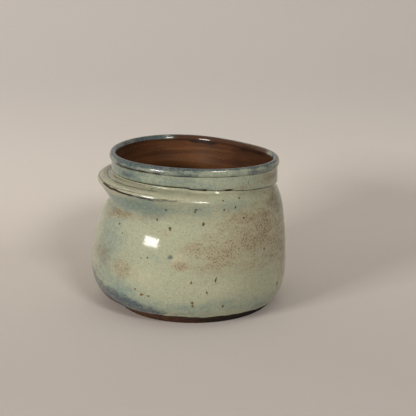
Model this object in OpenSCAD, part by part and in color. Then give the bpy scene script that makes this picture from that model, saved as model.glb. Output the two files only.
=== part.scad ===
// A wheel-thrown stoneware jar planter. The body was pushed out into a fold round one side, and a
// separately thrown collar with a rolled rim was luted on top of it. Millimetres, +Z up, with the
// origin at the centre of the foot on the surface the jar stands on. A turn is an angle in degrees
// round the jar, counted from +X towards +Y, so 270 is the front.

/* [Foot] */
// Radius of the foot where it meets the surface it stands on
foot_r = 69.3; // [64:0.1:74]
// How far the clay flares outwards straight above the foot, in degrees from upright
foot_flare = 41; // [20:1:50]
// Height over which it flares before it curves up into the belly
flare_h = 3.6; // [2:0.1:4.6]
// Radius of the shallow hollow under the base
hollow_r = 54; // [40:1:60]
// Depth of the hollow under the base
hollow_depth = 1.2; // [0.8:0.1:3]
// Thickness of the floor over the hollow
floor_t = 9; // [6:0.5:14]
// Radius of the flat part of the floor inside
floor_r = 52; // [40:1:58]
// Radius of the drain hole
drain_r = 6; // [4:0.5:10]

/* [Body] */
// Largest radius of the belly
belly_r = 87.9; // [84:0.1:94]
// Height at which the belly is widest
belly_z = 35.5; // [32:0.5:40]
// How far the belly's axis stands off the foot's centre, towards -X
belly_off = 4.2; // [0:0.1:8]
// How much further the belly bulges towards -X than towards +X
belly_skew = 1.4; // [0:0.1:4]
// Thickness of the thrown wall
wall_t = 6.5; // [5:0.1:8]
// Radius at the waist on the plain side
waist_r = 81.6; // [78:0.1:84]
// How far the waist lies above the widest part of the belly
waist_above = 47.3; // [40:0.1:52]
// Radius of the shoulder on the plain side
shoulder_r = 73.9; // [72:0.1:77]
// How far the shoulder lies below the lowest part of the joint
shoulder_below = 3.7; // [2:0.1:8]

/* [Fold] */
// Turn that the fold is centred on
fold_turn = 197; // [150:1:240]
// Turns to each side of the centre over which the fold is full
fold_full = 38; // [10:1:60]
// Turns over which the fold fades into the plain wall
fold_fade = 96; // [40:1:110]
// Radius at the ridge of the fold
ridge_r = 88.3; // [82:0.1:91]
// How much further the ridge stands out at the front than at the back
ridge_skew = 3.6; // [0:0.1:6]
// How far the ridge lies below the highest part of the joint
ridge_below = 6.2; // [5:0.1:10]
// Radius of the valley under the ridge
valley_r = 73.9; // [72:0.1:80]
// How far the valley lies below the ridge
valley_below = 21.2; // [18:0.1:26]
// How much lower the valley runs at the front than in the middle of the fold
valley_drop = 1.3; // [0:0.1:4]
// How much sooner the valley fades than the ridge does, 1 for the same
valley_sooner = 1.8; // [1:0.1:4]

/* [Mouth] */
// Mean radius of the rolled rim, to the middle of its roll
mouth_r = 71.1; // [69:0.1:73]
// How far the mouth is drawn out into an oval
oval = 5; // [0:0.1:7]
// Turn of the oval's long axis
oval_turn = 135; // [90:1:180]
// How far the mouth is pushed into a rounded triangle
lobe = 2.5; // [0:0.1:4]
// Turn of one of the triangle's corners
lobe_turn = -18; // [-60:1:60]
// How far the mouth stands off the belly's axis
mouth_off = 1.8; // [0:0.1:4]
// Turn towards which the mouth stands off
mouth_off_turn = -30; // [-90:1:90]

/* [Collar] */
// Height of the collar, from the joint to the middle of the rolled rim
collar_h = 18; // [15:0.1:24]
// How much the rim rises towards -X over each millimetre
rim_slope = 0.02; // [0:0.005:0.04]
// Radius of the rolled rim
roll_r = 3.2; // [2.6:0.1:4]
// How far the roll reaches below its middle
roll_drop = 4.1; // [3.4:0.1:5.4]
// How far the collar's outer face stands in from the outside of the roll
roll_proud = 1.5; // [0.8:0.1:2.2]
// Mean height of the joint between the body and the collar
joint_z = 114.5; // [108:0.1:124]
// How far the joint rises and falls round the jar
joint_rise = 5.8; // [2:0.1:7]
// Turn at which the joint is highest
joint_turn = 224; // [180:1:260]
// How far the joint's groove is cut in from the middle of the rim
joint_in = 0.8; // [0:0.1:1.6]
// Thickness of the clay at the joint, measured in from the middle of the rim
joint_t = 5.5; // [4.6:0.1:7]
// Thickness of the slip in the closed part of the joint
slip_t = 0.4; // [0.2:0.1:0.8]

/* [Crevice] */
// Turn that the open crevice in the joint is centred on
crevice_turn = 200; // [160:1:240]
// Turns to each side of the centre over which the crevice is full
crevice_full = 76; // [40:1:90]
// Turns over which the crevice closes
crevice_fade = 12; // [8:1:30]
// Height of the open crevice
crevice_h = 1.3; // [0.8:0.1:1.8]
// Depth of the open crevice behind the groove
crevice_depth = 2.2; // [1:0.1:2.6]

/* [Glaze] */
// Thickness of the glaze outside
glaze_t = 0.6; // [0.4:0.1:1]
// Thickness of the glaze inside
liner_t = 0.4; // [0.3:0.1:0.8]
// Mean height of the glaze line, with bare clay under it
glaze_z = 8.5; // [7.7:0.1:14]
// How far the glaze line rises and falls
glaze_run = 3; // [0:0.1:3.6]
// Turn at which the glaze line is highest
glaze_turn = 215; // [180:1:270]
// How far the inner glaze is wiped back from the drain hole
wiped_back = 1; // [0.5:0.1:3]

/* [Hidden] */
// Number of sections round the jar
section_count = 48;
// Steps along each stretch of the outline
bare_steps = 2;
foot_steps = 5;
belly_steps = 5;
waist_steps = 4;
ridge_steps = 3;
floor_top = hollow_depth + floor_t;
rim_z = joint_z + collar_h;
waist_z = belly_z + waist_above;
shoulder_z = joint_z - joint_rise - shoulder_below;
ridge_z = joint_z + joint_rise - ridge_below;
valley_z = ridge_z - valley_below;
// How far each curve of the outline runs straight on from its ends
foot_lead = [1.2, 2];
belly_lead_down = 26.5;
belly_lead_up = 26.4;
fold_belly_lead_up = 20.1;
waist_lead = 14.4;
under_valley_lead = 11.2;
over_valley_lead = 8.4;
shoulder_lead = 4.7;
under_ridge_lead = 3.8;
over_ridge_lead = 5.4;
// How far the outline leans inwards at the waist and the shoulder, and on its way into and out of
// the valley and the ridge
waist_lean = 6;
under_valley_lean = 57;
over_valley_lean = -5;
shoulder_lean = 19;
under_ridge_lean = -2;
over_ridge_lean = 21;
// Turn at which the valley runs at its own height, a quarter turn short of where it is lowest
valley_turn = 185;
// The same leads on the inside
floor_lead = 18;
inner_belly_lead_down = 18;
inner_belly_lead_up = 24;
inner_waist_lead_down = 12;
inner_waist_lead_up = 6;
inner_shoulder_lead = 2;
inner_seat_lead = 6;
// How far the inner shoulder lies below the seat, and how much less than the outside it follows
// the fold
inner_shoulder_below = 10;
inner_fold_less = 6;
// The groove's lip, outwards and away from the joint, on the plain side and in the fold
plain_lip = [1.5, 3.3];
fold_lip = [0.4, 3.8];
// Share of the mouth's oval that the waist and the valley take on
waist_share = 0.5;
valley_share = 0.8;
// How far the foot of the collar's face is rounded
collar_round = 1.6;
cut_clear = 1;

// Between two values
function mix(a, b, share) = a * (1 - share) + b * share;
// From 0 to 1 with level ends
function ease(t) =
    let (c = min(1, max(0, t)))
    c * c * (3 - 2 * c);
// The smaller angle between two turns
function turn_gap(a, b) =
    let (d = abs(a - b) % 360)
    min(d, 360 - d);
// 1 near a turn, fading to 0 away from it
function near_turn(turn, centre, full, fade) = ease((full + fade - turn_gap(turn, centre)) / fade);
function fold_at(turn) = near_turn(turn, fold_turn, fold_full, fold_fade);
function valley_at(turn) = pow(fold_at(turn), valley_sooner);
function open_at(turn) = near_turn(turn, crevice_turn, crevice_full, crevice_fade);

// A step of a given length, leaning inwards from upright by an angle
function leaning(angle, length) = [-length * sin(angle), length * cos(angle)];
// A smooth curve that leaves its start towards lead and comes to its end from tail
function curve_point(from, lead, tail, to, t) =
    pow(1 - t, 3) * from + 3 * pow(1 - t, 2) * t * lead + 3 * (1 - t) * t * t * tail + pow(t, 3) * to;
// That curve in steps, without its start
function curve(from, lead, tail, to, steps) =
    [for (i = [1:steps]) curve_point(from, lead, tail, to, i / steps)];
// Unit normal of an outline at one of its points, on the side away from the axis
function outward(line, i) =
    let (
        along = line[min(i + 1, len(line) - 1)] - line[max(i - 1, 0)],
        across = [along[1], -along[0]]
    )
    across / norm(across);
// An outline moved by a distance away from the axis
function moved(line, distance) =
    [for (i = [0:len(line) - 1]) line[i] + distance * outward(line, i)];
function without_last(line) = [for (i = [0:len(line) - 2]) line[i]];
function backwards(line) = [for (i = [len(line) - 1:-1:0]) line[i]];

// Distance from the belly's axis to a circle round the foot's centre
function from_axis(r, turn) =
    belly_off * cos(turn) + sqrt(r * r - pow(belly_off * sin(turn), 2));
// How far the rim stands out or in from its mean radius
function mouth_wave(turn) =
    oval * cos(2 * (turn - oval_turn))
    + lobe * cos(3 * (turn - lobe_turn))
    + mouth_off * cos(turn - mouth_off_turn);
function rim_r_at(turn) = mouth_r + mouth_wave(turn);
function rim_z_at(turn) = rim_z - rim_slope * rim_r_at(turn) * cos(turn);
function joint_gap_at(turn) = mix(slip_t, crevice_h, open_at(turn));
function joint_z_at(turn) = joint_z + joint_rise * cos(turn - joint_turn);
function seat_z_at(turn) = joint_z_at(turn) - joint_gap_at(turn) / 2;
function collar_foot_z_at(turn) = joint_z_at(turn) + joint_gap_at(turn) / 2;
function groove_r_at(turn) = rim_r_at(turn) - joint_in;
function joint_inside_r_at(turn) = rim_r_at(turn) - joint_t;
function slip_outside_r_at(turn) =
    groove_r_at(turn) - glaze_t - crevice_depth * open_at(turn);
function glaze_z_at(turn) = glaze_z + glaze_run * cos(turn - glaze_turn);
function belly_at(turn) = [belly_r - belly_skew * cos(turn), belly_z];
// Middle of the ridge, or of the shoulder where there is no fold
function ridge_at(turn) =
    mix(
        [shoulder_r, shoulder_z],
        [ridge_r - ridge_skew * cos(turn - 165), ridge_z],
        fold_at(turn)
    ) + [mouth_wave(turn), 0];
function waist_at(turn) =
    mix(
        [waist_r + waist_share * mouth_wave(turn), waist_z],
        [
            valley_r + valley_share * mouth_wave(turn),
            valley_z - valley_drop * sin(turn - valley_turn)
        ],
        valley_at(turn)
    );

// A point on the curve from the flare above the foot up to the belly
function lower_point(turn, t) =
    let (
        start = [from_axis(foot_r + flare_h * tan(foot_flare), turn), flare_h],
        belly = belly_at(turn)
    )
    curve_point(start, start + foot_lead, belly - [0, belly_lead_down], belly, t);
// Share of that curve at which it reaches a height, found by halving
function share_at(turn, z, low, high, halvings) =
    let (middle = (low + high) / 2)
    halvings == 0
        ? middle
        : lower_point(turn, middle)[1] < z
            ? share_at(turn, z, middle, high, halvings - 1)
            : share_at(turn, z, low, middle, halvings - 1);
function glaze_share_at(turn) = share_at(turn, glaze_z_at(turn), 0, 1, 14);

// The curve's bare stretch, up to just short of the glaze line
function bare_outside(turn) =
    let (share = glaze_share_at(turn))
    [for (i = [0:bare_steps - 1]) lower_point(turn, share * i / bare_steps)];

// Glazed outside of the body, from the glaze line up to the joint's groove
function body_outside(turn) =
    let (
        fold = fold_at(turn),
        valley = valley_at(turn),
        share = glaze_share_at(turn),
        belly = belly_at(turn),
        waist = waist_at(turn),
        ridge = ridge_at(turn),
        groove = [groove_r_at(turn), seat_z_at(turn)],
        belly_way = [0, mix(belly_lead_up, fold_belly_lead_up, valley)],
        plain_way = leaning(waist_lean, waist_lead),
        under_valley = mix(plain_way, leaning(under_valley_lean, under_valley_lead), valley),
        over_valley = mix(plain_way, leaning(over_valley_lean, over_valley_lead), valley),
        shoulder_way = leaning(shoulder_lean, shoulder_lead),
        under_ridge = mix(shoulder_way, leaning(under_ridge_lean, under_ridge_lead), fold),
        over_ridge = mix(shoulder_way, leaning(over_ridge_lean, over_ridge_lead), fold),
        lip = mix([plain_lip[0], -plain_lip[1]], [fold_lip[0], -fold_lip[1]], fold)
    )
    concat(
        [for (i = [0:foot_steps]) lower_point(turn, mix(share, 1, i / foot_steps))],
        curve(belly, belly + belly_way, waist - under_valley, waist, belly_steps),
        curve(waist, waist + over_valley, ridge - under_ridge, ridge, waist_steps),
        curve(ridge, ridge + over_ridge, groove + lip, groove, ridge_steps)
    );

// Clay there and under that glaze, up to the outer corner of the seat
function body_clay(turn) =
    concat(
        without_last(moved(concat(bare_outside(turn), body_outside(turn)), -glaze_t)),
        [[groove_r_at(turn) - glaze_t, seat_z_at(turn)]]
    );
function clay_under_glaze(turn) =
    let (clay = body_clay(turn))
    [for (i = [bare_steps:len(clay) - 1]) clay[i]];

// Inside of the body, from the edge of the flat floor up to the seat
function body_inside(turn) =
    let (
        fold = fold_at(turn),
        start = [from_axis(floor_r, turn), floor_top],
        belly = belly_at(turn) - [wall_t, 0],
        waist = waist_at(turn) - [wall_t, 2 * valley_at(turn)],
        seat = [joint_inside_r_at(turn), seat_z_at(turn)],
        shoulder = [
            ridge_at(turn)[0] - wall_t - inner_fold_less * fold,
            seat[1] - inner_shoulder_below
        ]
    )
    concat(
        [start],
        curve(start, start + [floor_lead, 0], belly - [0, inner_belly_lead_down], belly, belly_steps),
        curve(belly, belly + [0, inner_belly_lead_up], waist - [0, inner_waist_lead_down], waist, 3),
        curve(
            waist, waist + [0, inner_waist_lead_up], shoulder - [0, inner_waist_lead_up], shoulder, 2
        ),
        curve(shoulder, shoulder + [0, inner_shoulder_lead], seat - [0, inner_seat_lead], seat, 3)
    );

// Glazed outside of the collar, from the groove up its face and over the roll to its inner side
function collar_outside(turn) =
    let (
        r = rim_r_at(turn),
        face = r + roll_r - roll_proud,
        low = collar_foot_z_at(turn),
        middle = rim_z_at(turn),
        under = -acos((roll_r - roll_proud) / roll_r)
    )
    concat(
        [
            [groove_r_at(turn), low],
            [face - collar_round * 0.3, low + collar_round * 0.5],
            [face, low + collar_round],
            [face, (low + middle - roll_drop) / 2]
        ],
        [for (i = [0:2]) r_point(r, middle, mix(under, 0, i / 2), roll_drop)],
        [for (i = [1:6]) r_point(r, middle, i * 30, roll_r)]
    );
// A point on the roll, whose height above or below its middle is drawn out to a given reach
function r_point(r, middle, angle, reach) =
    [r + roll_r * cos(angle), middle + reach * sin(angle)];

// Clay under that glaze
function collar_clay(turn) =
    let (glazed = collar_outside(turn), clay = moved(glazed, -glaze_t), last = len(glazed) - 1)
    concat(
        [[groove_r_at(turn) - glaze_t, collar_foot_z_at(turn)]],
        [for (i = [1:last - 1]) clay[i]],
        [glazed[last] + [glaze_t, 0]]
    );

// Inside of the collar, from its foot up to the inner side of the roll
function collar_inside(turn) =
    let (
        foot = [joint_inside_r_at(turn), collar_foot_z_at(turn)],
        top = [rim_r_at(turn) - roll_r + glaze_t, rim_z_at(turn)]
    )
    [foot, mix(foot, top, 0.5) + [0.4, 0], top];

// A closed loop of an outline and the same outline moved by a thickness
function skin(outer, inner) = concat(outer, backwards(inner));

// The whole section of each piece at one turn
function body_section(turn) =
    concat(
        [[from_axis(foot_r, turn), 0]],
        body_clay(turn),
        [[slip_outside_r_at(turn), seat_z_at(turn)]],
        backwards(body_inside(turn))
    );
function collar_section(turn) =
    concat(
        [[slip_outside_r_at(turn), collar_foot_z_at(turn)]],
        collar_clay(turn),
        without_last(backwards(collar_inside(turn))),
        [[joint_inside_r_at(turn), collar_foot_z_at(turn)]]
    );
function slip_section(turn) =
    [
        [slip_outside_r_at(turn), seat_z_at(turn)],
        [slip_outside_r_at(turn), collar_foot_z_at(turn)],
        [joint_inside_r_at(turn), collar_foot_z_at(turn)],
        [joint_inside_r_at(turn), seat_z_at(turn)]
    ];
function liner_section(turn) =
    let (clay = concat(body_inside(turn), collar_inside(turn)))
    concat(clay, backwards(liner_face(clay, turn)));
// Bare face of the inner glaze, level over the floor and flush with the roll's glaze at the top
function liner_face(clay, turn) =
    let (moved_in = moved(clay, -liner_t), last = len(clay) - 1)
    concat(
        [[clay[0][0], clay[0][1] + liner_t]],
        [for (i = [1:last - 1]) moved_in[i]],
        [clay[last] - [liner_t, 0]]
    );

// Where a section's point lies round the jar
function placed(point, turn) =
    [point[0] * cos(turn) - belly_off, point[0] * sin(turn), point[1]];
// Two triangles between two neighbouring points of two neighbouring sections, split across the
// shorter diagonal so that pieces which touch are split alike
function patch(p, a, b, c, d) =
    norm(p[a] - p[c]) <= norm(p[b] - p[d])
        ? [[a, b, c], [a, c, d]]
        : [[a, b, d], [b, c, d]];

// A solid through all the sections round the jar. A ring's sections are closed loops. A bowl's are
// open lines, and a flat face closes them at the bottom and at the floor.
module lofted(sections, ring) {
    count = len(sections);
    size = len(sections[0]);
    turns = [for (i = [0:count - 1]) i * 360 / count];
    points = [for (i = [0:count - 1]) for (p = sections[i]) placed(p, turns[i])];
    sides = [
        for (i = [0:count - 1])
            for (k = [0:ring ? size - 1 : size - 2])
                let (
                    here = i * size,
                    next = ((i + 1) % count) * size,
                    up = (k + 1) % size
                )
                each patch(points, here + k, here + up, next + up, next + k)
    ];
    caps = ring
        ? []
        : [
            [for (i = [0:count - 1]) i * size],
            [for (i = [count - 1:-1:0]) i * size + size - 1]
        ];
    polyhedron(points = points, faces = concat(sides, caps), convexity = 8);
}

function all_turns() = [for (i = [0:section_count - 1]) i * 360 / section_count];

module drain(r) {
    translate([0, 0, -cut_clear])
        cylinder(r = r, h = floor_top + liner_t + 2 * cut_clear, $fn = 96);
}

module thrown_body() {
    color("saddlebrown")
        difference() {
            lofted([for (turn = all_turns()) body_section(turn)], false);
            drain(drain_r);
            translate([0, 0, -cut_clear])
                cylinder(r = hollow_r, h = hollow_depth + cut_clear, $fn = 96);
        }
}

module neck_collar() {
    color("sienna")
        lofted([for (turn = all_turns()) collar_section(turn)], true);
}

module luting_slip() {
    color("rosybrown")
        lofted([for (turn = all_turns()) slip_section(turn)], true);
}

module body_glaze() {
    color("darkseagreen")
        lofted([for (turn = all_turns()) skin(body_outside(turn), clay_under_glaze(turn))], true);
}

module collar_glaze() {
    color("cadetblue")
        lofted([for (turn = all_turns()) skin(collar_outside(turn), collar_clay(turn))], true);
}

module liner_glaze() {
    color("sienna")
        difference() {
            lofted([for (turn = all_turns()) liner_section(turn)], false);
            drain(drain_r + wiped_back);
        }
}

thrown_body();
neck_collar();
luting_slip();
body_glaze();
collar_glaze();
liner_glaze();
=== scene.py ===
"""A wheel-thrown stoneware jar planter, dressed in its clay and its glazes.

The body was pushed out into a fold round one side, and a collar with a rolled rim was luted on top
of it. Every fine surface here follows the same sizes as the part's solids, and takes their place.
Sizes are in millimetres until a piece is made, and heights count up from the surface that the jar
stands on. A turn is an angle in degrees round the jar, counted from +X towards +Y, so 270 is the
front. An outline is an array of turns by points by [radius, height].
"""

import logging
import math
from dataclasses import dataclass, field
from enum import Enum
from typing import Callable

import bmesh
import bpy
import numpy as np
from bmesh.types import BMEdge
from bpy.types import Material, Node, NodeSocket as Socket, NodeTree, Object
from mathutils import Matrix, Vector


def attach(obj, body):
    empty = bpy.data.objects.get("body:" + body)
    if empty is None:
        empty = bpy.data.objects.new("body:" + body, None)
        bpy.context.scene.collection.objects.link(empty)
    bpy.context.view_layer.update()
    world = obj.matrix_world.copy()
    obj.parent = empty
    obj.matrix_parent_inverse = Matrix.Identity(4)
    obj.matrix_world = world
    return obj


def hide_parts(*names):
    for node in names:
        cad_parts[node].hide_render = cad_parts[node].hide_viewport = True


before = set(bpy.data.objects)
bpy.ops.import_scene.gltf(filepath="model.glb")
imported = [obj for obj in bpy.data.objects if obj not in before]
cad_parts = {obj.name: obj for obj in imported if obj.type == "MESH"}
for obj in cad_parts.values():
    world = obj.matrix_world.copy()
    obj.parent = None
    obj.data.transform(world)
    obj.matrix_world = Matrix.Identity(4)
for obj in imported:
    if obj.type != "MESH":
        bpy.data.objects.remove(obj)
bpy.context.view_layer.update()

MM = 0.001
Colour = tuple[float, float, float, float]
Number = np.ndarray | float
Pair = tuple[float, float]
Rows = tuple[int, int, int, int]
Waves = tuple[tuple[float, float, float], ...]
Sockets = dict[str, Socket]
Plug = Socket | float | tuple

log = logging.getLogger("jar")


class Slot(Enum):
    """The record's material slots."""

    CLAY = "bare_clay"
    SLIP = "joint_slip"
    OUTER = "outer_glaze"
    RIM = "rim_glaze"
    INNER = "inner_glaze"


class Mask(Enum):
    """What a glaze does at a place, or the light or shade painted there, kept on the mesh as a
    value from 0 to 1.
    """

    # Beside the glaze, the thin mask also carries painted shade under the roll and painted light
    # low inside, and the pool mask painted shade on the inner sides and at the foot
    THIN = "thin"
    BLUE = "blue"
    POOL = "pool"
    WARM = "warm"
    PALE = "pale"
    BROWN = "brown"


class Lamp(Enum):
    """The two softboxes."""

    LEFT = "left_softbox"
    RIGHT = "right_softbox"


# ---------------------------------------------------------------- small sums


def cosd(angle: Number) -> Number:
    """Cosine of an angle in degrees."""
    return np.cos(np.radians(angle))


def sind(angle: Number) -> Number:
    """Sine of an angle in degrees."""
    return np.sin(np.radians(angle))


def mix(a: Number, b: Number, share: Number) -> Number:
    """Between two values, by a share from 0 to 1."""
    return a * (1 - share) + b * share


def ease(share: Number) -> np.ndarray:
    """From 0 to 1 with level ends."""
    held = np.clip(share, 0.0, 1.0)
    return held * held * (3 - 2 * held)


def turn_from(turn: Number, centre: float) -> np.ndarray:
    """The signed angle from a centre to a turn, between -180 and 180."""
    return (np.asarray(turn) - centre + 180) % 360 - 180


def near_turn(turn: np.ndarray, centre: float, full: float, fade: float) -> np.ndarray:
    """1 near a turn, fading to 0 away from it.

    Args:
        turn: the turns to look at.
        centre: the turn it is centred on.
        full: turns to each side over which it is 1.
        fade: turns over which it fades.

    Returns:
        A value from 0 to 1 at each turn.
    """
    return ease((full + fade - np.abs(turn_from(turn, centre))) / fade)


def hump(distance: Number, reach: float) -> np.ndarray:
    """A soft hump, 1 at no distance and nearly 0 at twice its reach."""
    return np.exp(-((distance / reach) ** 2))


def point(r: Number, z: Number) -> np.ndarray:
    """Radii and heights as one array of [radius, height]."""
    return np.stack(np.broadcast_arrays(np.asarray(r, float), np.asarray(z, float)), -1)


def leaning(angle: float, length: float) -> np.ndarray:
    """A step of a given length that leans inwards from upright by an angle."""
    return np.array([[-length * sind(angle), length * cosd(angle)]])


def curve(
    start: np.ndarray, lead: np.ndarray, tail: np.ndarray, end: np.ndarray, shares: np.ndarray
) -> np.ndarray:
    """Points on a smooth curve at every turn.

    Args:
        start: where it starts, one [radius, height] a turn.
        lead: the point that it leaves towards.
        tail: the point that it comes from at its end.
        end: where it ends.
        shares: how far along each point lies, the same at all turns or a row for each turn.

    Returns:
        An array of turns by points by [radius, height].
    """
    t = np.broadcast_to(shares, (len(start), np.shape(shares)[-1]))[:, :, None]
    a, b, c, d = (end_point[:, None, :] for end_point in (start, lead, tail, end))
    return (1 - t) ** 3 * a + 3 * (1 - t) ** 2 * t * b + 3 * (1 - t) * t**2 * c + t**3 * d


def outward(line: np.ndarray) -> np.ndarray:
    """Unit normals of an outline, on the side away from the axis.

    Args:
        line: the outline.

    Returns:
        A direction at each point.
    """
    along = np.gradient(line, axis=1)
    across = np.stack([along[..., 1], -along[..., 0]], -1)
    return across / np.maximum(np.linalg.norm(across, axis=-1, keepdims=True), 1e-9)


def moved(line: np.ndarray, distance: Number) -> np.ndarray:
    """An outline moved away from the axis by a distance, which may differ from point to point."""
    return line + np.broadcast_to(distance, line.shape[:2])[..., None] * outward(line)


def run_along(line: np.ndarray) -> np.ndarray:
    """Distance along an outline from its start."""
    steps = np.linalg.norm(np.diff(line, axis=1), axis=-1)
    return np.concatenate([np.zeros((len(line), 1)), np.cumsum(steps, axis=1)], axis=1)


def picked(line: np.ndarray, count: int) -> np.ndarray:
    """A few evenly spread points of an outline, with both ends, read from its end to its start."""
    rows = np.round(np.linspace(line.shape[1] - 1, 0, count)).astype(int)
    return line[:, rows]


def ripple(turn: np.ndarray, waves: Waves) -> np.ndarray:
    """A sum of waves round the jar, each a size, a count and a turn that it starts at."""
    return sum(size * sind(count * (turn - start)) for size, count, start in waves)


@dataclass(frozen=True)
class Stretch:
    """A stretch of turns: its middle, how far it holds to each side, and how far it then fades."""

    middle: float
    full: float
    fade: float

    def at(self, turn: np.ndarray) -> np.ndarray:
        """1 on the stretch, fading to 0 beside it."""
        return near_turn(turn, self.middle, self.full, self.fade)


Strengths = tuple[tuple[float, Stretch], ...]


# ---------------------------------------------------------------- the jar's form


@dataclass(frozen=True)
class JarForm:
    """The jar's sizes and outlines in millimetres, as its solids have them but for fine shapes."""

    foot_r: float = 69.3
    foot_flare: float = 41
    flare_h: float = 3.6
    hollow_r: float = 54
    hollow_depth: float = 1.2
    floor_t: float = 9
    floor_r: float = 52
    drain_r: float = 6
    belly_r: float = 87.9
    belly_z: float = 35.5
    belly_off: float = 4.2
    belly_skew: float = 1.4
    wall_t: float = 6.5
    waist_r: float = 81.6
    waist_above: float = 47.3
    shoulder_r: float = 73.9
    shoulder_below: float = 3.7
    fold_turn: float = 197
    fold_full: float = 38
    fold_fade: float = 96
    ridge_r: float = 88.3
    ridge_skew: float = 3.6
    ridge_skew_turn: float = 165
    ridge_below: float = 6.2
    valley_r: float = 73.9
    valley_below: float = 21.2
    valley_drop: float = 1.3
    valley_turn: float = 185
    valley_sooner: float = 1.8
    # Share of the mouth's shape that the waist and the valley take on
    waist_share: float = 0.5
    valley_share: float = 0.8
    # How far the curve over the foot runs straight on from its ends
    foot_lead: Pair = (1.2, 2)
    belly_lead_down: float = 26.5
    # Degrees that a stretch of the outline leans inwards as it leaves a place, and how far it runs
    waist_way: Pair = (6, 14.4)
    under_valley_way: Pair = (57, 11.2)
    over_valley_way: Pair = (-5, 8.4)
    shoulder_way: Pair = (19, 4.7)
    under_ridge_way: Pair = (-2, 3.8)
    over_ridge_way: Pair = (21, 5.4)
    belly_way: Pair = (0, 26.4)
    fold_belly_way: Pair = (0, 20.1)
    # From the groove outwards and down to where the ledge under it aims
    plain_lip: Pair = (1.5, -3.3)
    fold_lip: Pair = (0.4, -3.8)
    healed_lip: Pair = (0.35, -1.8)
    # How far the curves of the inside run straight on from their ends
    floor_lead: float = 18
    inner_belly_lead_down: float = 18
    inner_belly_lead_up: float = 24
    inner_waist_lead_down: float = 12
    inner_waist_lead_up: float = 6
    inner_shoulder_lead: float = 2
    inner_seat_lead: float = 6
    inner_valley_drop: float = 2
    mouth_r: float = 71.1
    oval: float = 5
    oval_turn: float = 135
    lobe: float = 2.5
    lobe_turn: float = -18
    mouth_off: float = 1.8
    mouth_off_turn: float = -30
    collar_h: float = 18
    rim_slope: float = 0.02
    roll_r: float = 3.2
    roll_drop: float = 4.1
    roll_proud: float = 1.5
    neck_share: float = 0.86
    collar_round: float = 1.9
    collar_hollow: float = 0.8
    collar_lead: float = 0.7
    # From the groove outwards, and from the corner over it back down, at the foot of the collar
    groove_way: Pair = (1.4, 0.1)
    corner_way: Pair = (-0.02, -1.2)
    healed_corner_way: Pair = (-0.2, -1.32)
    joint_mean_z: float = 114.5
    joint_rise: float = 5.8
    joint_turn: float = 224
    joint_in: float = 0.8
    joint_t: float = 5.5
    slip_t: float = 0.4
    crevice_turn: float = 200
    crevice_full: float = 76
    crevice_fade: float = 12
    crevice_h: float = 1.3
    crevice_depth: float = 2.2
    # The crevice's blunt end in front. It is narrower than in the solids, turns shallow towards the
    # front, and has a small hole at its end
    crevice_end: float = 82.8
    crevice_end_fade: float = 1.2
    crevice_narrow: float = 0.62
    shallow_from: float = 30
    shallow_share: float = 0.3
    hole_past: float = 81.6
    hole_more: float = 0.55
    hole_reach: float = 1.1
    hole_deeper: float = 0.7
    hole_deep_reach: float = 1.2
    inner_shoulder_below: float = 10
    inner_fold_less: float = 6
    glaze_t: float = 0.6
    liner_t: float = 0.4
    glaze_mean_z: float = 8.5
    glaze_run: float = 3.0
    glaze_turn: float = 215
    wiped_back: float = 1
    # Fine shapes that only these surfaces carry
    kink_turn: float = 270.5
    kink_size: float = 0.45
    kink_sharp: float = 1.2
    kink_reach: float = 13
    healed: Stretch = Stretch(299, 11, 7)
    healed_size: float = 1.2
    line_wave: float = 0.35
    line_waves: Waves = ((1, 9, 10), (0.7, 17, 50), (0.5, 31, 5), (0.4, 47, 20))
    line_sag: float = 0.9
    line_sags: Stretch = Stretch(285, 45, 40)
    # How much closer the rows lie towards the waist, and at both ends of the fold's curves
    wall_crowd: float = 1.5
    fold_crowd: float = 0.75
    halvings: int = 20
    rounding_rows: int = 10

    def fold_at(self, turn: np.ndarray) -> np.ndarray:
        """How far the fold is pushed out, from 0 to 1."""
        return near_turn(turn, self.fold_turn, self.fold_full, self.fold_fade)

    def valley_at(self, turn: np.ndarray) -> np.ndarray:
        """How far the valley under the fold is pushed in, which fades sooner than the ridge."""
        return self.fold_at(turn) ** self.valley_sooner

    def open_at(self, turn: np.ndarray) -> np.ndarray:
        """How far the crevice under the collar is open, from 0 to 1.

        Args:
            turn: the turns.

        Returns:
            A value at each turn.
        """
        side = turn_from(turn, self.crevice_turn)
        fade = np.where(side > 0, self.crevice_end_fade, self.crevice_fade)
        reach = np.where(side > 0, self.crevice_end, self.crevice_full + self.crevice_fade)
        return ease((reach - np.abs(side)) / fade)

    def healed_at(self, turn: np.ndarray) -> np.ndarray:
        """How far the joint's groove is smoothed over, from 0 to 1."""
        return self.healed.at(turn)

    def from_axis(self, r: float, turn: np.ndarray) -> np.ndarray:
        """Distance from the belly's axis to a circle round the foot's centre."""
        return self.belly_off * cosd(turn) + np.sqrt(r * r - (self.belly_off * sind(turn)) ** 2)

    def mouth_wave(self, turn: np.ndarray) -> np.ndarray:
        """How far the rim stands out or in from its mean radius.

        Args:
            turn: the turns.

        Returns:
            A distance at each turn.
        """
        return (
            self.oval * cosd(2 * (turn - self.oval_turn))
            + self.lobe * cosd(3 * (turn - self.lobe_turn))
            + self.mouth_off * cosd(turn - self.mouth_off_turn)
        )

    def rim_r(self, turn: np.ndarray) -> np.ndarray:
        """Radius to the middle of the roll."""
        return self.mouth_r + self.mouth_wave(turn)

    def rim_z(self, turn: np.ndarray) -> np.ndarray:
        """Height of the middle of the roll."""
        return self.joint_mean_z + self.collar_h - self.rim_slope * self.rim_r(turn) * cosd(turn)

    def joint_z(self, turn: np.ndarray) -> np.ndarray:
        """Height of the joint, with the small kink near its open end.

        Args:
            turn: the turns.

        Returns:
            A height at each turn.
        """
        past = turn_from(turn, self.kink_turn)
        kink = -self.kink_size * np.tanh(past / self.kink_sharp) * hump(past, self.kink_reach)
        return self.joint_mean_z + self.joint_rise * cosd(turn - self.joint_turn) + kink

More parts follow.
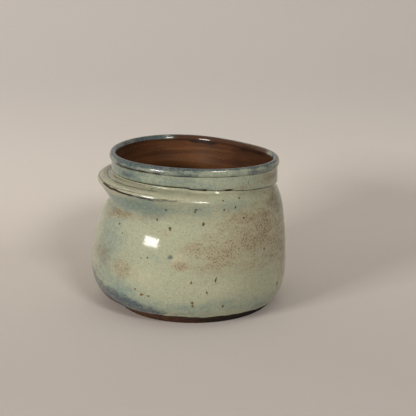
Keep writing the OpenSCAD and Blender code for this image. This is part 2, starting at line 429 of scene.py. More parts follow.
    def hole_at(self, turn: np.ndarray, reach: float) -> np.ndarray:
        """1 in the small hole at the crevice's end, fading beside it."""
        return hump(turn_from(turn, self.crevice_turn + self.hole_past), reach)

    def gap(self, turn: np.ndarray) -> np.ndarray:
        """Height of the joint's gap, narrow along the crevice and wider in the hole at its end.

        Args:
            turn: the turns.

        Returns:
            A distance at each turn.
        """
        wide = self.crevice_narrow + self.hole_more * self.hole_at(turn, self.hole_reach)
        return mix(self.slip_t, self.crevice_h * wide, self.open_at(turn))

    def seat_z(self, turn: np.ndarray) -> np.ndarray:
        """Height of the body's upper edge."""
        return self.joint_z(turn) - self.gap(turn) / 2

    def collar_foot_z(self, turn: np.ndarray) -> np.ndarray:
        """Height of the collar's lower edge."""
        return self.joint_z(turn) + self.gap(turn) / 2

    def groove_r(self, turn: np.ndarray) -> np.ndarray:
        """Radius at the bottom of the joint's groove."""
        return self.rim_r(turn) - self.joint_in + self.healed_size * self.healed_at(turn)

    def slip_outside_r(self, turn: np.ndarray) -> np.ndarray:
        """Radius of the slip's outside, deep in the crevice where it is open.

        Args:
            turn: the turns.

        Returns:
            A radius at each turn.
        """
        past = turn_from(turn, self.crevice_turn) - self.shallow_from
        deep = mix(1.0, self.shallow_share, ease(past / self.shallow_from))
        deep = deep + self.hole_deeper * self.hole_at(turn, self.hole_deep_reach)
        return self.groove_r(turn) - self.glaze_t - self.crevice_depth * deep * self.open_at(turn)

    def joint_inside_r(self, turn: np.ndarray) -> np.ndarray:
        """Radius of the joint on the inside."""
        return self.rim_r(turn) - self.joint_t

    def belly(self, turn: np.ndarray) -> np.ndarray:
        """The widest point of the belly."""
        return point(self.belly_r - self.belly_skew * cosd(turn), self.belly_z)

    def ridge(self, turn: np.ndarray) -> np.ndarray:
        """Middle of the ridge, or of the shoulder where there is no fold.

        Args:
            turn: the turns.

        Returns:
            One [radius, height] a turn.
        """
        fold = self.fold_at(turn)
        skew = self.ridge_skew * cosd(turn - self.ridge_skew_turn)
        out = mix(self.shoulder_r, self.ridge_r - skew, fold)
        low = self.joint_mean_z - self.joint_rise - self.shoulder_below
        high = self.joint_mean_z + self.joint_rise - self.ridge_below
        return point(out + self.mouth_wave(turn), mix(low, high, fold))

    def waist(self, turn: np.ndarray) -> np.ndarray:
        """The waist, or the valley under the ridge where there is a fold.

        Args:
            turn: the turns.

        Returns:
            One [radius, height] a turn.
        """
        valley, wave = self.valley_at(turn), self.mouth_wave(turn)
        valley_z = self.joint_mean_z + self.joint_rise - self.ridge_below - self.valley_below
        valley_z = valley_z - self.valley_drop * sind(turn - self.valley_turn)
        return point(
            mix(self.waist_r, self.valley_r, valley)
            + mix(self.waist_share, self.valley_share, valley) * wave,
            mix(self.belly_z + self.waist_above, valley_z, valley),
        )

    def lower(self, turn: np.ndarray, shares: np.ndarray) -> np.ndarray:
        """Points on the curve from the flare above the foot up to the belly.

        Args:
            turn: the turns.
            shares: how far along each point lies, at all turns or a row for each.

        Returns:
            Outlines.
        """
        start_r = self.foot_r + self.flare_h * math.tan(math.radians(self.foot_flare))
        start = point(self.from_axis(start_r, turn), self.flare_h)
        belly = self.belly(turn)
        low_lead, high_lead = start + self.foot_lead, belly - [0, self.belly_lead_down]
        return curve(start, low_lead, high_lead, belly, shares)

    def glaze_z(self, turn: np.ndarray) -> np.ndarray:
        """Height of the glaze line, with the small waves it ran down in and its sag in front.

        Args:
            turn: the turns.

        Returns:
            A height at each turn.
        """
        return (
            self.glaze_mean_z
            + self.glaze_run * cosd(turn - self.glaze_turn)
            + self.line_wave * ripple(turn, self.line_waves)
            - self.line_sag * self.line_sags.at(turn)
        )

    def glaze_share(self, turn: np.ndarray) -> np.ndarray:
        """Share of the lower curve at which it reaches the glaze line, found by halving.

        Args:
            turn: the turns.

        Returns:
            A share at each turn.
        """
        target = self.glaze_z(turn)
        low, high = np.zeros_like(turn), np.ones_like(turn)
        for _ in range(self.halvings):
            middle = (low + high) / 2
            below = self.lower(turn, middle[:, None])[:, 0, 1] < target
            low, high = np.where(below, middle, low), np.where(below, high, middle)
        return middle

    def bare_outside(self, turn: np.ndarray, rows: int) -> np.ndarray:
        """The lower curve's bare stretch, from the flare up to just short of the glaze line."""
        return self.lower(turn, self.glaze_share(turn)[:, None] * np.arange(rows) / rows)

    def body_outside(self, turn: np.ndarray, rows: Rows) -> np.ndarray:
        """Glazed outside of the body, from the glaze line up to the joint's groove.

        Args:
            turn: the turns.
            rows: rows in the belly, the wall, the underside of the fold and the ledge.

        Returns:
            An array of turns by rows by [radius, height].
        """
        fold = self.fold_at(turn)[:, None]
        valley = self.valley_at(turn)[:, None]
        healed = self.healed_at(turn)[:, None]
        belly, waist, ridge = self.belly(turn), self.waist(turn), self.ridge(turn)
        groove = point(self.groove_r(turn), self.seat_z(turn))
        belly_way = mix(leaning(*self.belly_way), leaning(*self.fold_belly_way), valley)
        under_valley = mix(leaning(*self.waist_way), leaning(*self.under_valley_way), valley)
        over_valley = mix(leaning(*self.waist_way), leaning(*self.over_valley_way), valley)
        under_ridge = mix(leaning(*self.shoulder_way), leaning(*self.under_ridge_way), fold)
        over_ridge = mix(leaning(*self.shoulder_way), leaning(*self.over_ridge_way), fold)
        lip = mix(point(*self.plain_lip), point(*self.fold_lip), fold)
        lip = mix(lip, point(*self.healed_lip), healed)
        first, second, third, last = (np.arange(1, count + 1) / count for count in rows)
        share = self.glaze_share(turn)[:, None]
        lower = np.concatenate([share, mix(share, 1, first)], axis=1)
        second = 1 - (1 - second) ** self.wall_crowd
        third, last = (
            mix(even, (1 - cosd(180 * even)) / 2, self.fold_crowd) for even in (third, last)
        )
        return np.concatenate(
            [
                self.lower(turn, lower),
                curve(belly, belly + belly_way, waist - under_valley, waist, second),
                curve(waist, waist + over_valley, ridge - under_ridge, ridge, third),
                curve(ridge, ridge + over_ridge, groove + lip, groove, last),
            ],
            axis=1,
        )

    def body_inside(self, turn: np.ndarray, rows: Rows) -> np.ndarray:
        """Inside of the body's clay, from the edge of the flat floor up to the seat.

        Args:
            turn: the turns.
            rows: rows over the floor, the wall, the shoulder and up to the seat.

        Returns:
            Outlines.
        """
        fold = self.fold_at(turn)
        start = point(self.from_axis(self.floor_r, turn), self.hollow_depth + self.floor_t)
        belly = self.belly(turn) - [self.wall_t, 0]
        waist = self.waist(turn) - point(self.wall_t, self.inner_valley_drop * self.valley_at(turn))
        seat = point(self.joint_inside_r(turn), self.seat_z(turn))
        shoulder = point(
            self.ridge(turn)[..., 0] - self.wall_t - self.inner_fold_less * fold,
            self.seat_z(turn) - self.inner_shoulder_below,
        )
        stops = [start, belly, waist, shoulder, seat]
        leads = [
            ([self.floor_lead, 0], [0, self.inner_belly_lead_down]),
            ([0, self.inner_belly_lead_up], [0, self.inner_waist_lead_down]),
            ([0, self.inner_waist_lead_up], [0, self.inner_waist_lead_up]),
            ([0, self.inner_shoulder_lead], [0, self.inner_seat_lead]),
        ]
        curves = [
            curve(low, low + lead, high - tail, high, np.arange(1, count + 1) / count)
            for low, high, (lead, tail), count in zip(stops, stops[1:], leads, rows)
        ]
        return np.concatenate([start[:, None], *curves], axis=1)

    def collar_outside(self, turn: np.ndarray, face_rows: int, roll_rows: int) -> np.ndarray:
        """Glazed outside of the collar, from the groove up its face and over the roll.

        Args:
            turn: the turns.
            face_rows: rows on the face.
            roll_rows: rows on the roll.

        Returns:
            An array of turns by rows by [radius, height].
        """
        r, low, middle = self.rim_r(turn), self.collar_foot_z(turn), self.rim_z(turn)
        face = r + self.roll_r - self.roll_proud
        healed = self.healed_at(turn)[:, None]
        groove = point(self.groove_r(turn), low)
        corner = point(face, low + self.collar_round)
        back = mix(point(*self.corner_way), point(*self.healed_corner_way), healed)
        steps = np.arange(self.rounding_rows) / self.rounding_rows
        rounding = curve(groove, groove + self.groove_way, corner + back, corner, steps)
        neck = point(face, middle - self.roll_drop * self.neck_share)
        shares = (np.arange(face_rows) / face_rows)[None, :, None]
        upright = mix(corner[:, None], neck[:, None], shares)
        angle = self.roll_angles(roll_rows)[None, :]
        reach = np.where(angle < 0, self.roll_drop, self.roll_r)
        roll = point(r[:, None] + self.roll_r * cosd(angle), middle[:, None] + reach * sind(angle))
        return np.concatenate([rounding, upright, roll], axis=1)

    def roll_angles(self, rows: int) -> np.ndarray:
        """The angle of each row of the roll, from its underside over the top to its inner side."""
        under = -math.degrees(math.acos((self.roll_r - self.roll_proud) / self.roll_r))
        return np.linspace(under, 180, rows)

    def collar_inside(self, turn: np.ndarray, rows: int) -> np.ndarray:
        """Inside of the collar's clay, from its foot up to the inner side of the roll.

        Args:
            turn: the turns.
            rows: how many points.

        Returns:
            Outlines.
        """
        foot = point(self.joint_inside_r(turn), self.collar_foot_z(turn))
        top = point(self.rim_r(turn) - self.roll_r + self.glaze_t, self.rim_z(turn))
        middle = mix(foot, top, 0.5) + [self.collar_hollow, 0]
        lead, tail = mix(foot, middle, self.collar_lead), mix(top, middle, self.collar_lead)
        return curve(foot, lead, tail, top, np.linspace(0, 1, rows))

    def placed(self, sections: np.ndarray, turn: np.ndarray) -> np.ndarray:
        """Where the points of all the sections lie, in metres.

        Args:
            sections: outlines or closed sections.
            turn: their turns.

        Returns:
            An array of turns by points by [x, y, z].
        """
        r, z = sections[..., 0], sections[..., 1]
        x = r * cosd(turn)[:, None] - self.belly_off
        return np.stack([x, r * sind(turn)[:, None], z], -1) * MM


# ---------------------------------------------------------------- marks and washes


@dataclass(frozen=True)
class Wash:
    """A soft patch of the glaze, by its middle and how far it reaches round and up."""

    turn: float
    height: float
    wide: float
    tall: float
    strength: float = 1.0

    def over(self, turn: np.ndarray, height: np.ndarray) -> np.ndarray:
        """How strong the patch is at each point."""
        across = turn_from(turn, self.turn)
        return self.strength * hump(across, self.wide) * hump(height - self.height, self.tall)


def washed(patches: list[Wash], turn: np.ndarray, height: np.ndarray) -> np.ndarray:
    """The patches laid over each other, from 0 to 1.

    Args:
        patches: the patches.
        turn: the turns, as a column.
        height: the heights of the points.

    Returns:
        A value at each point.
    """
    left = np.ones(np.broadcast(turn, height).shape)
    for patch in patches:
        left = left * (1 - np.clip(patch.over(turn, height), 0, 1))
    return 1 - left


@dataclass(frozen=True)
class ThrowingMarks:
    """The shallow spiral that the potter's fingers leave in a wall."""

    depth: float
    spacing: float
    wander: float = 0.25

    def over(self, turn: np.ndarray, height: np.ndarray) -> np.ndarray:
        """How far the marks raise the surface, in millimetres.

        Args:
            turn: the turns, as a column.
            height: the heights of the points.

        Returns:
            A height at each point.
        """
        drift = ripple(turn, ((self.wander, 2, 40), (self.wander * 0.6, 3, 110)))
        phase = height / self.spacing + turn / 360 + drift
        uneven = 0.6 + 0.4 * sind(height * 11 + 2 * turn)
        return self.depth * uneven * np.sin(2 * math.pi * phase)


BODY_POOLS = [
    Wash(226, 104, 34, 5.5, 0.85),
    Wash(258, 101, 28, 5, 0.5),
    Wash(248, 109, 14, 4, 0.4),
    Wash(290, 106, 24, 7, 0.4),
    Wash(230, 98, 20, 5, 0.5),
    Wash(212, 62, 15, 34, 0.65),
    Wash(247, 94, 14, 7, 0.4),
    Wash(208, 66, 7, 9, 0.35),
    Wash(240, 16, 22, 7, 0.6),
    Wash(342, 95, 20, 16, 0.6),
    Wash(340, 55, 14, 26, 0.4),
    Wash(252, 62, 10, 6, 0.35),
    Wash(262, 20, 50, 8, 0.5),
    Wash(230, 30, 16, 10, 0.5),
    Wash(316, 14, 20, 6, 0.4),
    Wash(150, 102, 50, 6, 0.8),
    Wash(120, 60, 26, 16, 0.45),
    Wash(40, 24, 46, 12, 0.5),
    Wash(20, 96, 22, 10, 0.35),
    Wash(80, 100, 24, 8, 0.5),
]
BODY_BLUES = [
    Wash(219, 17, 19, 10, 1.0),
    Wash(240, 17, 18, 6, 0.55),
    Wash(198, 26, 16, 14, 0.88),
    Wash(242, 12, 16, 4, 0.6),
    Wash(266, 12, 22, 6, 0.4),
    Wash(252, 110.8, 9, 1.5, 0.75),
    Wash(270, 104, 8, 4, 0.35),
    Wash(288, 104, 14, 6, 0.25),
    Wash(259.8, 63.7, 2.6, 2.2, 0.92),
    Wash(316, 11, 14, 3.5, 0.5),
    Wash(150, 20, 20, 8, 0.6),
    Wash(60, 14, 24, 5, 0.5),
]
BODY_BROWNS = [
    Wash(215, 54, 9, 15, 0.38),
    Wash(208, 24, 12, 8, 0.3),
    Wash(336, 98, 26, 22, 0.4),
    Wash(345, 50, 20, 30, 0.33),
    Wash(308, 113, 18, 7, 0.34),
    Wash(332, 105, 9, 12, 0.18),
]
BODY_WARMS = [
    Wash(216, 91, 11, 3, 0.9),
    Wash(206, 87, 9, 3, 0.6),
    Wash(231, 91, 8, 3, 0.4),
    Wash(257, 82, 4, 3, 0.7),
    Wash(272, 71, 9, 6, 0.75),
    Wash(266, 56, 6, 3.5, 1.0),
    Wash(264.5, 63, 4, 5, 0.35),
    Wash(302, 74, 20, 15, 0.7),
    Wash(289, 64, 11, 8, 0.5),
    Wash(283, 55, 10, 6, 0.45),
    Wash(302, 92, 16, 8, 0.5),
    Wash(229, 48, 10, 8, 0.6),
    Wash(305, 50, 14, 8, 0.45),
    Wash(330, 75, 14, 22, 0.55),
    Wash(345, 60, 16, 30, 0.6),
    Wash(322, 96, 14, 16, 0.45),
    Wash(312, 82, 26, 26, 0.24),
    Wash(340, 40, 14, 20, 0.3),
    Wash(208, 60, 12, 20, 0.45),
    Wash(245, 93, 14, 6, 0.3),
    Wash(345, 112, 20, 6, 0.4),
    Wash(70, 70, 26, 14, 0.7),
    Wash(140, 84, 18, 6, 0.6),
    Wash(10, 56, 20, 14, 0.5),
    Wash(110, 36, 18, 8, 0.5),
]
BODY_PALES = [
    Wash(264.5, 62.5, 4, 5.5, 1.0),
    Wash(246, 44, 26, 9, 0.4),
    Wash(290, 36, 20, 9, 0.45),
    Wash(240, 84, 10, 7, 0.2),
    Wash(225, 118.5, 26, 1.6, 0.8),
    # Painted light as well as pale glaze: the ledge in front is coloured paler, against the shade
    # of its lines and crease
    Wash(272, 114, 20, 4, 0.8),
    Wash(60, 84, 26, 8, 0.5),
    Wash(130, 46, 24, 10, 0.5),
]
COLLAR_POOLS = [
    Wash(225, 127, 40, 9, 0.75),
    Wash(268, 122, 16, 7, 0.35),
    Wash(150, 128, 50, 9, 0.7),
    Wash(284, 119, 12, 4, 0.5),
    Wash(30, 124, 40, 9, 0.4),
]
COLLAR_BLUES = [
    Wash(222, 125, 11, 4, 0.7),
    Wash(266, 124, 10, 3, 0.45),
    Wash(250, 122, 10, 2.5, 0.3),
    Wash(150, 124, 20, 4, 0.4),
]
COLLAR_BROWNS = [
    Wash(333, 122.5, 13, 5, 0.44),
]
COLLAR_WARMS = [
    Wash(331, 122, 20, 7, 0.7),
    Wash(303, 118, 9, 3, 0.6),
    Wash(292, 119, 4, 2.5, 0.4),
    Wash(60, 122, 30, 6, 0.6),
]


# ---------------------------------------------------------------- making the pieces


def deselect_all() -> None:
    """Leaves object mode with nothing selected."""
    if bpy.context.object and bpy.context.object.mode != "OBJECT":
        bpy.ops.object.mode_set(mode="OBJECT")
    bpy.ops.object.select_all(action="DESELECT")


def select_edges(piece: Object, wanted: Callable[[BMEdge], bool]) -> None:
    """Selects the edges of the mesh in edit mode that a test picks.

    Args:
        piece: the object in edit mode.
        wanted: says of an edge whether it is selected.
    """
    bpy.ops.mesh.select_mode(type="EDGE")
    bpy.ops.mesh.select_all(action="DESELECT")
    shape = bmesh.from_edit_mesh(piece.data)
    for edge in shape.edges:
        edge.select_set(wanted(edge))
    bmesh.update_edit_mesh(piece.data)


def upright(edge: BMEdge) -> bool:
    """Whether an edge runs up the wall."""
    return abs(edge.verts[0].co.z - edge.verts[1].co.z) > 1e-4


def open_end(edge: BMEdge) -> bool:
    """Whether an edge has a face on one side only."""
    return len(edge.link_faces) == 1


def factors(count: int) -> tuple[int, int]:
    """Two whole numbers with a given product, as near to each other as may be."""
    small = next(n for n in range(int(math.sqrt(count)), 0, -1) if count % n == 0)
    return small, count // small


@dataclass
class TurnedPiece:
    """A closed section carried once round the jar, made from one circle.

    The circle is drawn up into a wall, the wall is cut into rings, its two ends are bridged into a
    closed tube, and each ring is then pushed to where the section has it at every turn.
    """

    form: JarForm
    name: str
    node: str
    slot: Slot
    turns_round: int = 384
    smooth_angle: float = 55

    def turns(self) -> np.ndarray:
        """The turns at which the piece has a section."""
        return np.arange(self.turns_round) * 360 / self.turns_round

    def sections(self, turn: np.ndarray) -> tuple[np.ndarray, dict[Mask, np.ndarray]]:
        """The closed section at each turn, and the masks at its points.

        Args:
            turn: the turns.

        Returns:
            An array of turns by points by [radius, height], and one array of values a mask.
        """
        raise NotImplementedError

    def build(self) -> Object:
        """Makes the mesh with its masks and puts it in the place of its node.

        Returns:
            The finished object, without its material.
        """
        turn = self.turns()
        sections, masks = self.sections(turn)
        rows = sections.shape[1]
        piece = self.blank(rows)
        ring, row = self.grid(piece, rows)
        places = self.form.placed(sections, turn)[ring, row]
        piece.data.vertices.foreach_set("co", places.ravel())
        for mask, values in masks.items():
            layer = piece.data.attributes.new(mask.value, "FLOAT", "POINT")
            layer.data.foreach_set("value", np.clip(values[ring, row], 0, 1).astype(np.float32))
        self.finish(piece)
        return piece

    def blank(self, rows: int) -> Object:
        """A plain closed tube with the right number of rings, before it is shaped.

        Args:
            rows: how many rings it has.

        Returns:
            The tube, one unit high.
        """
        deselect_all()
        bpy.ops.mesh.primitive_circle_add(vertices=self.turns_round, radius=1, location=(0, 0, 0))
        piece = bpy.context.object
        piece.name = piece.data.name = self.name
        bpy.ops.object.mode_set(mode="EDIT")
        bpy.ops.mesh.select_all(action="SELECT")
        bpy.ops.mesh.extrude_region_move(TRANSFORM_OT_translate={"value": (0, 0, 1)})
        for parts in factors(rows - 1):
            if parts > 1:
                select_edges(piece, upright)
                bpy.ops.mesh.subdivide(number_cuts=parts - 1)
        select_edges(piece, open_end)
        bpy.ops.mesh.bridge_edge_loops()
        bpy.ops.object.mode_set(mode="OBJECT")
        return piece

    def grid(self, piece: Object, rows: int) -> tuple[np.ndarray, np.ndarray]:
        """Which turn and which ring each vertex of the plain tube lies on.

        Args:
            piece: the plain tube.
            rows: how many rings it has.

        Returns:
            The number of the turn and of the ring, a vertex.
        """
        places = np.empty(len(piece.data.vertices) * 3)
        piece.data.vertices.foreach_get("co", places)
        places = places.reshape(-1, 3)
        around = np.degrees(np.arctan2(places[:, 1], places[:, 0])) % 360
        ring = np.round(around * self.turns_round / 360).astype(int) % self.turns_round
        return ring, np.round(places[:, 2] * (rows - 1)).astype(int)

    def finish(self, piece: Object) -> None:
        """Turns the faces outwards, smooths them and puts the piece in the place of its node.

        Args:
            piece: the shaped piece.
        """
        piece.data.update()
        bpy.ops.object.mode_set(mode="EDIT")
        bpy.ops.mesh.select_all(action="SELECT")
        bpy.ops.mesh.normals_make_consistent(inside=False)
        bpy.ops.object.mode_set(mode="OBJECT")
        bpy.ops.object.shade_smooth_by_angle(angle=math.radians(self.smooth_angle))
        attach(piece, "root")
        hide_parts(self.node)


def closed(outer: np.ndarray, inner: np.ndarray, fold_into: int = 12) -> np.ndarray:
    """One closed section of an outline and a few points of another, read back to its start.

    Args:
        outer: the outline that shows.
        inner: the outline that lies against another piece.
        fold_into: the number that the count of steps is made a multiple of.

    Returns:
        An array of turns by points by [radius, height].
    """
    wanted = 14
    while (outer.shape[1] + wanted - 1) % fold_into:
        wanted += 1
    return np.concatenate([outer, picked(inner, wanted)], axis=1)


def padded(values: np.ndarray, size: int) -> np.ndarray:
    """Mask values of an outline, with nothing on the hidden points after it."""
    rest = np.zeros((values.shape[0], size - values.shape[1]))
    return np.concatenate([values, rest], axis=1)


@dataclass
class BodyGlaze(TurnedPiece):
    """The glaze outside the body, from its wavy lower edge up to the joint's groove."""

    rows: Rows = (42, 48, 60, 54)
    marks: ThrowingMarks = ThrowingMarks(0.022, 7.5)
    swell: ThrowingMarks = ThrowingMarks(0.10, 26, 0.4)
    edge_round: float = 0.9
    edge_bead: float = 0.25
    tuck: float = 0.1
    ledge_step: float = 0.12
    ledge_lines_across: float = 3.4
    ledge_drift: Waves = ((0.03, 2, 30), (0.02, 5, 80))
    lined_ledge: Stretch = Stretch(205, 42, 16)
    # The narrow bands that carry the two lamps' reflections: half their height, the most that the
    # surface is turned, and how far it leans back where each lamp is mirrored
    ridge_band: float = 0.5
    ridge_steepest: float = 45
    lip_band: float = 0.75
    lip_steepest: float = 38
    lip_under: float = 1.5
    lip_bands: tuple[Stretch, ...] = (Stretch(249, 7, 8), Stretch(284, 5, 6))
    band_fade: float = 0.3
    band_foot: float = 1.6
    left_lean: float = 18.6
    right_lean: float = 25.0
    between_lamps: float = 264
    # The line on the ridge where the glaze broke, which falls towards the front and then levels out
    break_turn: float = 208
    break_top: float = 114.9
    break_fall: float = 0.075
    break_falls: Pair = (-20, 70)
    break_level: float = 0.045
    break_levels: Pair = (32, 40)
    break_waves: Waves = ((0.15, 23, 0), (0.1, 41, 9))
    brown_break: Stretch = Stretch(222, 12, 9)
    bluish_break: Stretch = Stretch(249, 14, 8)
    scraped_edge: Stretch = Stretch(208, 14, 12)
    scraped_higher: Stretch = Stretch(200, 6, 20)
    healed_ring: Wash = Wash(297, 116, 6, 1.8, 0.5)

    def ledge_lines(self, turn: np.ndarray, share: np.ndarray) -> np.ndarray:
        """The fine lines along the top of the fold, as a wave from -1 to 1.

        Args:
            turn: the turns.
            share: how far each row lies up the ledge, from 0 at the ridge to 1 at the groove.

        Returns:
            The wave, faded out towards the ends of the fold and of the ledge.
        """
        there = self.lined_ledge.at(turn) * ease(share / 0.2) * ease((1 - share) / 0.15)
        count = self.ledge_lines_across * share + ripple(turn, self.ledge_drift)
        return there * np.sin(2 * math.pi * count)

    def band(
        self, turn: np.ndarray, outline: np.ndarray, along: np.ndarray, half: float, steepest: float
    ) -> np.ndarray:
        """How far an edge is filled out, to make a narrow band of it that leans in evenly.

        Args:
            turn: the turns, as a column.
            outline: the outline.
            along: distance along it from the middle of the band.
            half: half the band's height.
            steepest: the most that the surface is turned, in degrees.

        Returns:
            The distance that each point moves outwards, fading to nothing beside the band.
        """
        lean = np.degrees(np.arcsin(np.clip(outward(outline)[..., 1], -1, 1)))
        side = ease((turn_from(turn, self.between_lamps) + 10) / 20)
        even = mix(self.left_lean, self.right_lean, side)
        turned = np.radians(np.clip(lean - even, -steepest, steepest))
        slope = np.tan(turned) * ease((half + self.band_fade - np.abs(along)) / self.band_fade)
        steps = np.diff(along, axis=1) * (slope[:, 1:] + slope[:, :-1]) / 2
        filled = np.concatenate([np.zeros((len(along), 1)), np.cumsum(steps, axis=1)], axis=1)
        middle = np.argmin(np.abs(along), axis=1)[:, None]
        filled = filled - np.take_along_axis(filled, middle, axis=1)
        return filled * hump(np.maximum(np.abs(along) - half, 0), self.band_foot)

    def swelling(
        self, turn: np.ndarray, outline: np.ndarray, run: np.ndarray, share: np.ndarray
    ) -> np.ndarray:
        """The rounding of the ridge, and of two stretches of the lip just under the joint.

        Args:
            turn: the turns, as a column.
            outline: the outline.
            run: distances along it.
            share: how far up the ledge each row lies.

        Returns:
            The distance that each point moves outwards.
        """
        up = run - run[:, [np.argmax(share > 0) - 1]]
        down = run[:, -1:] - run
        ridge = self.band(turn, outline, up, self.ridge_band, self.ridge_steepest)
        lip = self.band(turn, outline, self.lip_under - down, self.lip_band, self.lip_steepest)
        lip = lip * ease(down / 0.6)
        return ridge + lip * sum(stretch.at(turn) for stretch in self.lip_bands)

    def sections(self, turn: np.ndarray) -> tuple[np.ndarray, dict[Mask, np.ndarray]]:
        """The glaze's closed section and its masks, as TurnedPiece.sections gives them."""
        form, round_turn = self.form, turn[:, None]
        outline = form.body_outside(turn, self.rows)
        height, run = outline[..., 1], run_along(outline)
        share = np.zeros(outline.shape[1])
        share[-self.rows[3] :] = np.arange(1, self.rows[3] + 1) / self.rows[3]
        lines = self.ledge_lines(round_turn, share[None, :])
        calm = ease(run / 6) * ease((run[:, -1:] - run) / 3)
        relief = calm * (self.marks.over(round_turn, height) + self.swell.over(round_turn, height))
        relief -= form.glaze_t * (1 - ease(run / self.edge_round))
        relief += self.edge_bead * hump(run - 1.7, 1.1)
        relief += self.ledge_step * lines
        relief += self.swelling(round_turn, outline, run, share)
        face = moved(outline, relief)
        clay = moved(outline, -form.glaze_t - self.tuck)
        clay[:, -1] = point(form.groove_r(turn) - form.glaze_t - self.tuck, form.seat_z(turn))
        section = closed(face, clay)
        masks = self.masks(round_turn, height, run, lines, share[None, :])
        return section, {mask: padded(values, section.shape[1]) for mask, values in masks.items()}

    def masks(
        self,
        turn: np.ndarray,
        height: np.ndarray,
        run: np.ndarray,
        lines: np.ndarray,
        share: np.ndarray,
    ) -> dict[Mask, np.ndarray]:
        """What the glaze does at each point of the outline.

        Args:
            turn: the turns, as a column.
            height: heights of the points.
            run: distances along the outline.
            lines: the ledge's fine lines.
            share: how far up the ledge each row lies.

        Returns:
            One array of values a mask.
        """
        form = self.form
        to_top = run[:, -1:] - run
        open_at, closed_at = form.open_at(turn), 1 - form.open_at(turn)
        off_break = height - self.break_z(turn)
        bluish = hump(off_break, 1.7) * self.bluish_break.at(turn)
        thin = {
            "on the break": hump(off_break - 0.2, 0.95) * self.brown_break.at(turn),
            "beside the blue": 0.5 * bluish,
            "at the lower edge": 0.85 * hump(run - 0.2, 0.7),
            "where it was scraped": 0.9
            * hump(run, 5.5 + 6.5 * self.scraped_higher.at(turn))
            * self.scraped_edge.at(turn),
            "at the crevice": 0.6 * hump(to_top, 0.5) * open_at,
            "at the joint": 0.22 * hump(to_top - 0.3, 0.5) * closed_at * (1 - form.healed_at(turn)),
            "between the ledge's lines": 0.62 * np.clip(-lines, 0, 1) ** 4,
        }
        pale = [
            washed(BODY_PALES, turn, height),
            0.75 * np.clip(lines, 0, 1),
            0.4 * form.fold_at(turn) * ease(share / 0.3),
        ]
        return {
            Mask.THIN: np.maximum.reduce(list(thin.values())),
            Mask.BLUE: np.maximum(washed(BODY_BLUES, turn, height), 0.6 * bluish),
            Mask.POOL: washed(BODY_POOLS, turn, height),
            Mask.WARM: np.maximum(washed(BODY_WARMS, turn, height), self.ringed(turn, height)),
            Mask.PALE: np.maximum.reduce(pale),
            Mask.BROWN: washed(BODY_BROWNS, turn, height),
        }

    def break_z(self, turn: np.ndarray) -> np.ndarray:
        """Height of the line on the ridge where the glaze broke.

        Args:
            turn: the turns.

        Returns:
            A height at each turn.
        """
        past = turn_from(turn, self.break_turn)
        start, level_for = self.break_levels
        fallen = self.break_fall * np.clip(past, *self.break_falls)
        levelled = self.break_level * np.clip(past - start, 0, level_for)
        return self.break_top - fallen + levelled + ripple(turn, self.break_waves)

    def ringed(self, turn: np.ndarray, height: np.ndarray) -> np.ndarray:
        """The warm ring round the healed place in the joint.

        Args:
            turn: the turns, as a column.
            height: the heights of the points.

        Returns:
            A value at each point.
        """
        ring = self.healed_ring
        off = np.hypot(turn_from(turn, ring.turn) / ring.wide, (height - ring.height) / ring.tall)
        return ring.strength * hump(off - 1, 0.3)


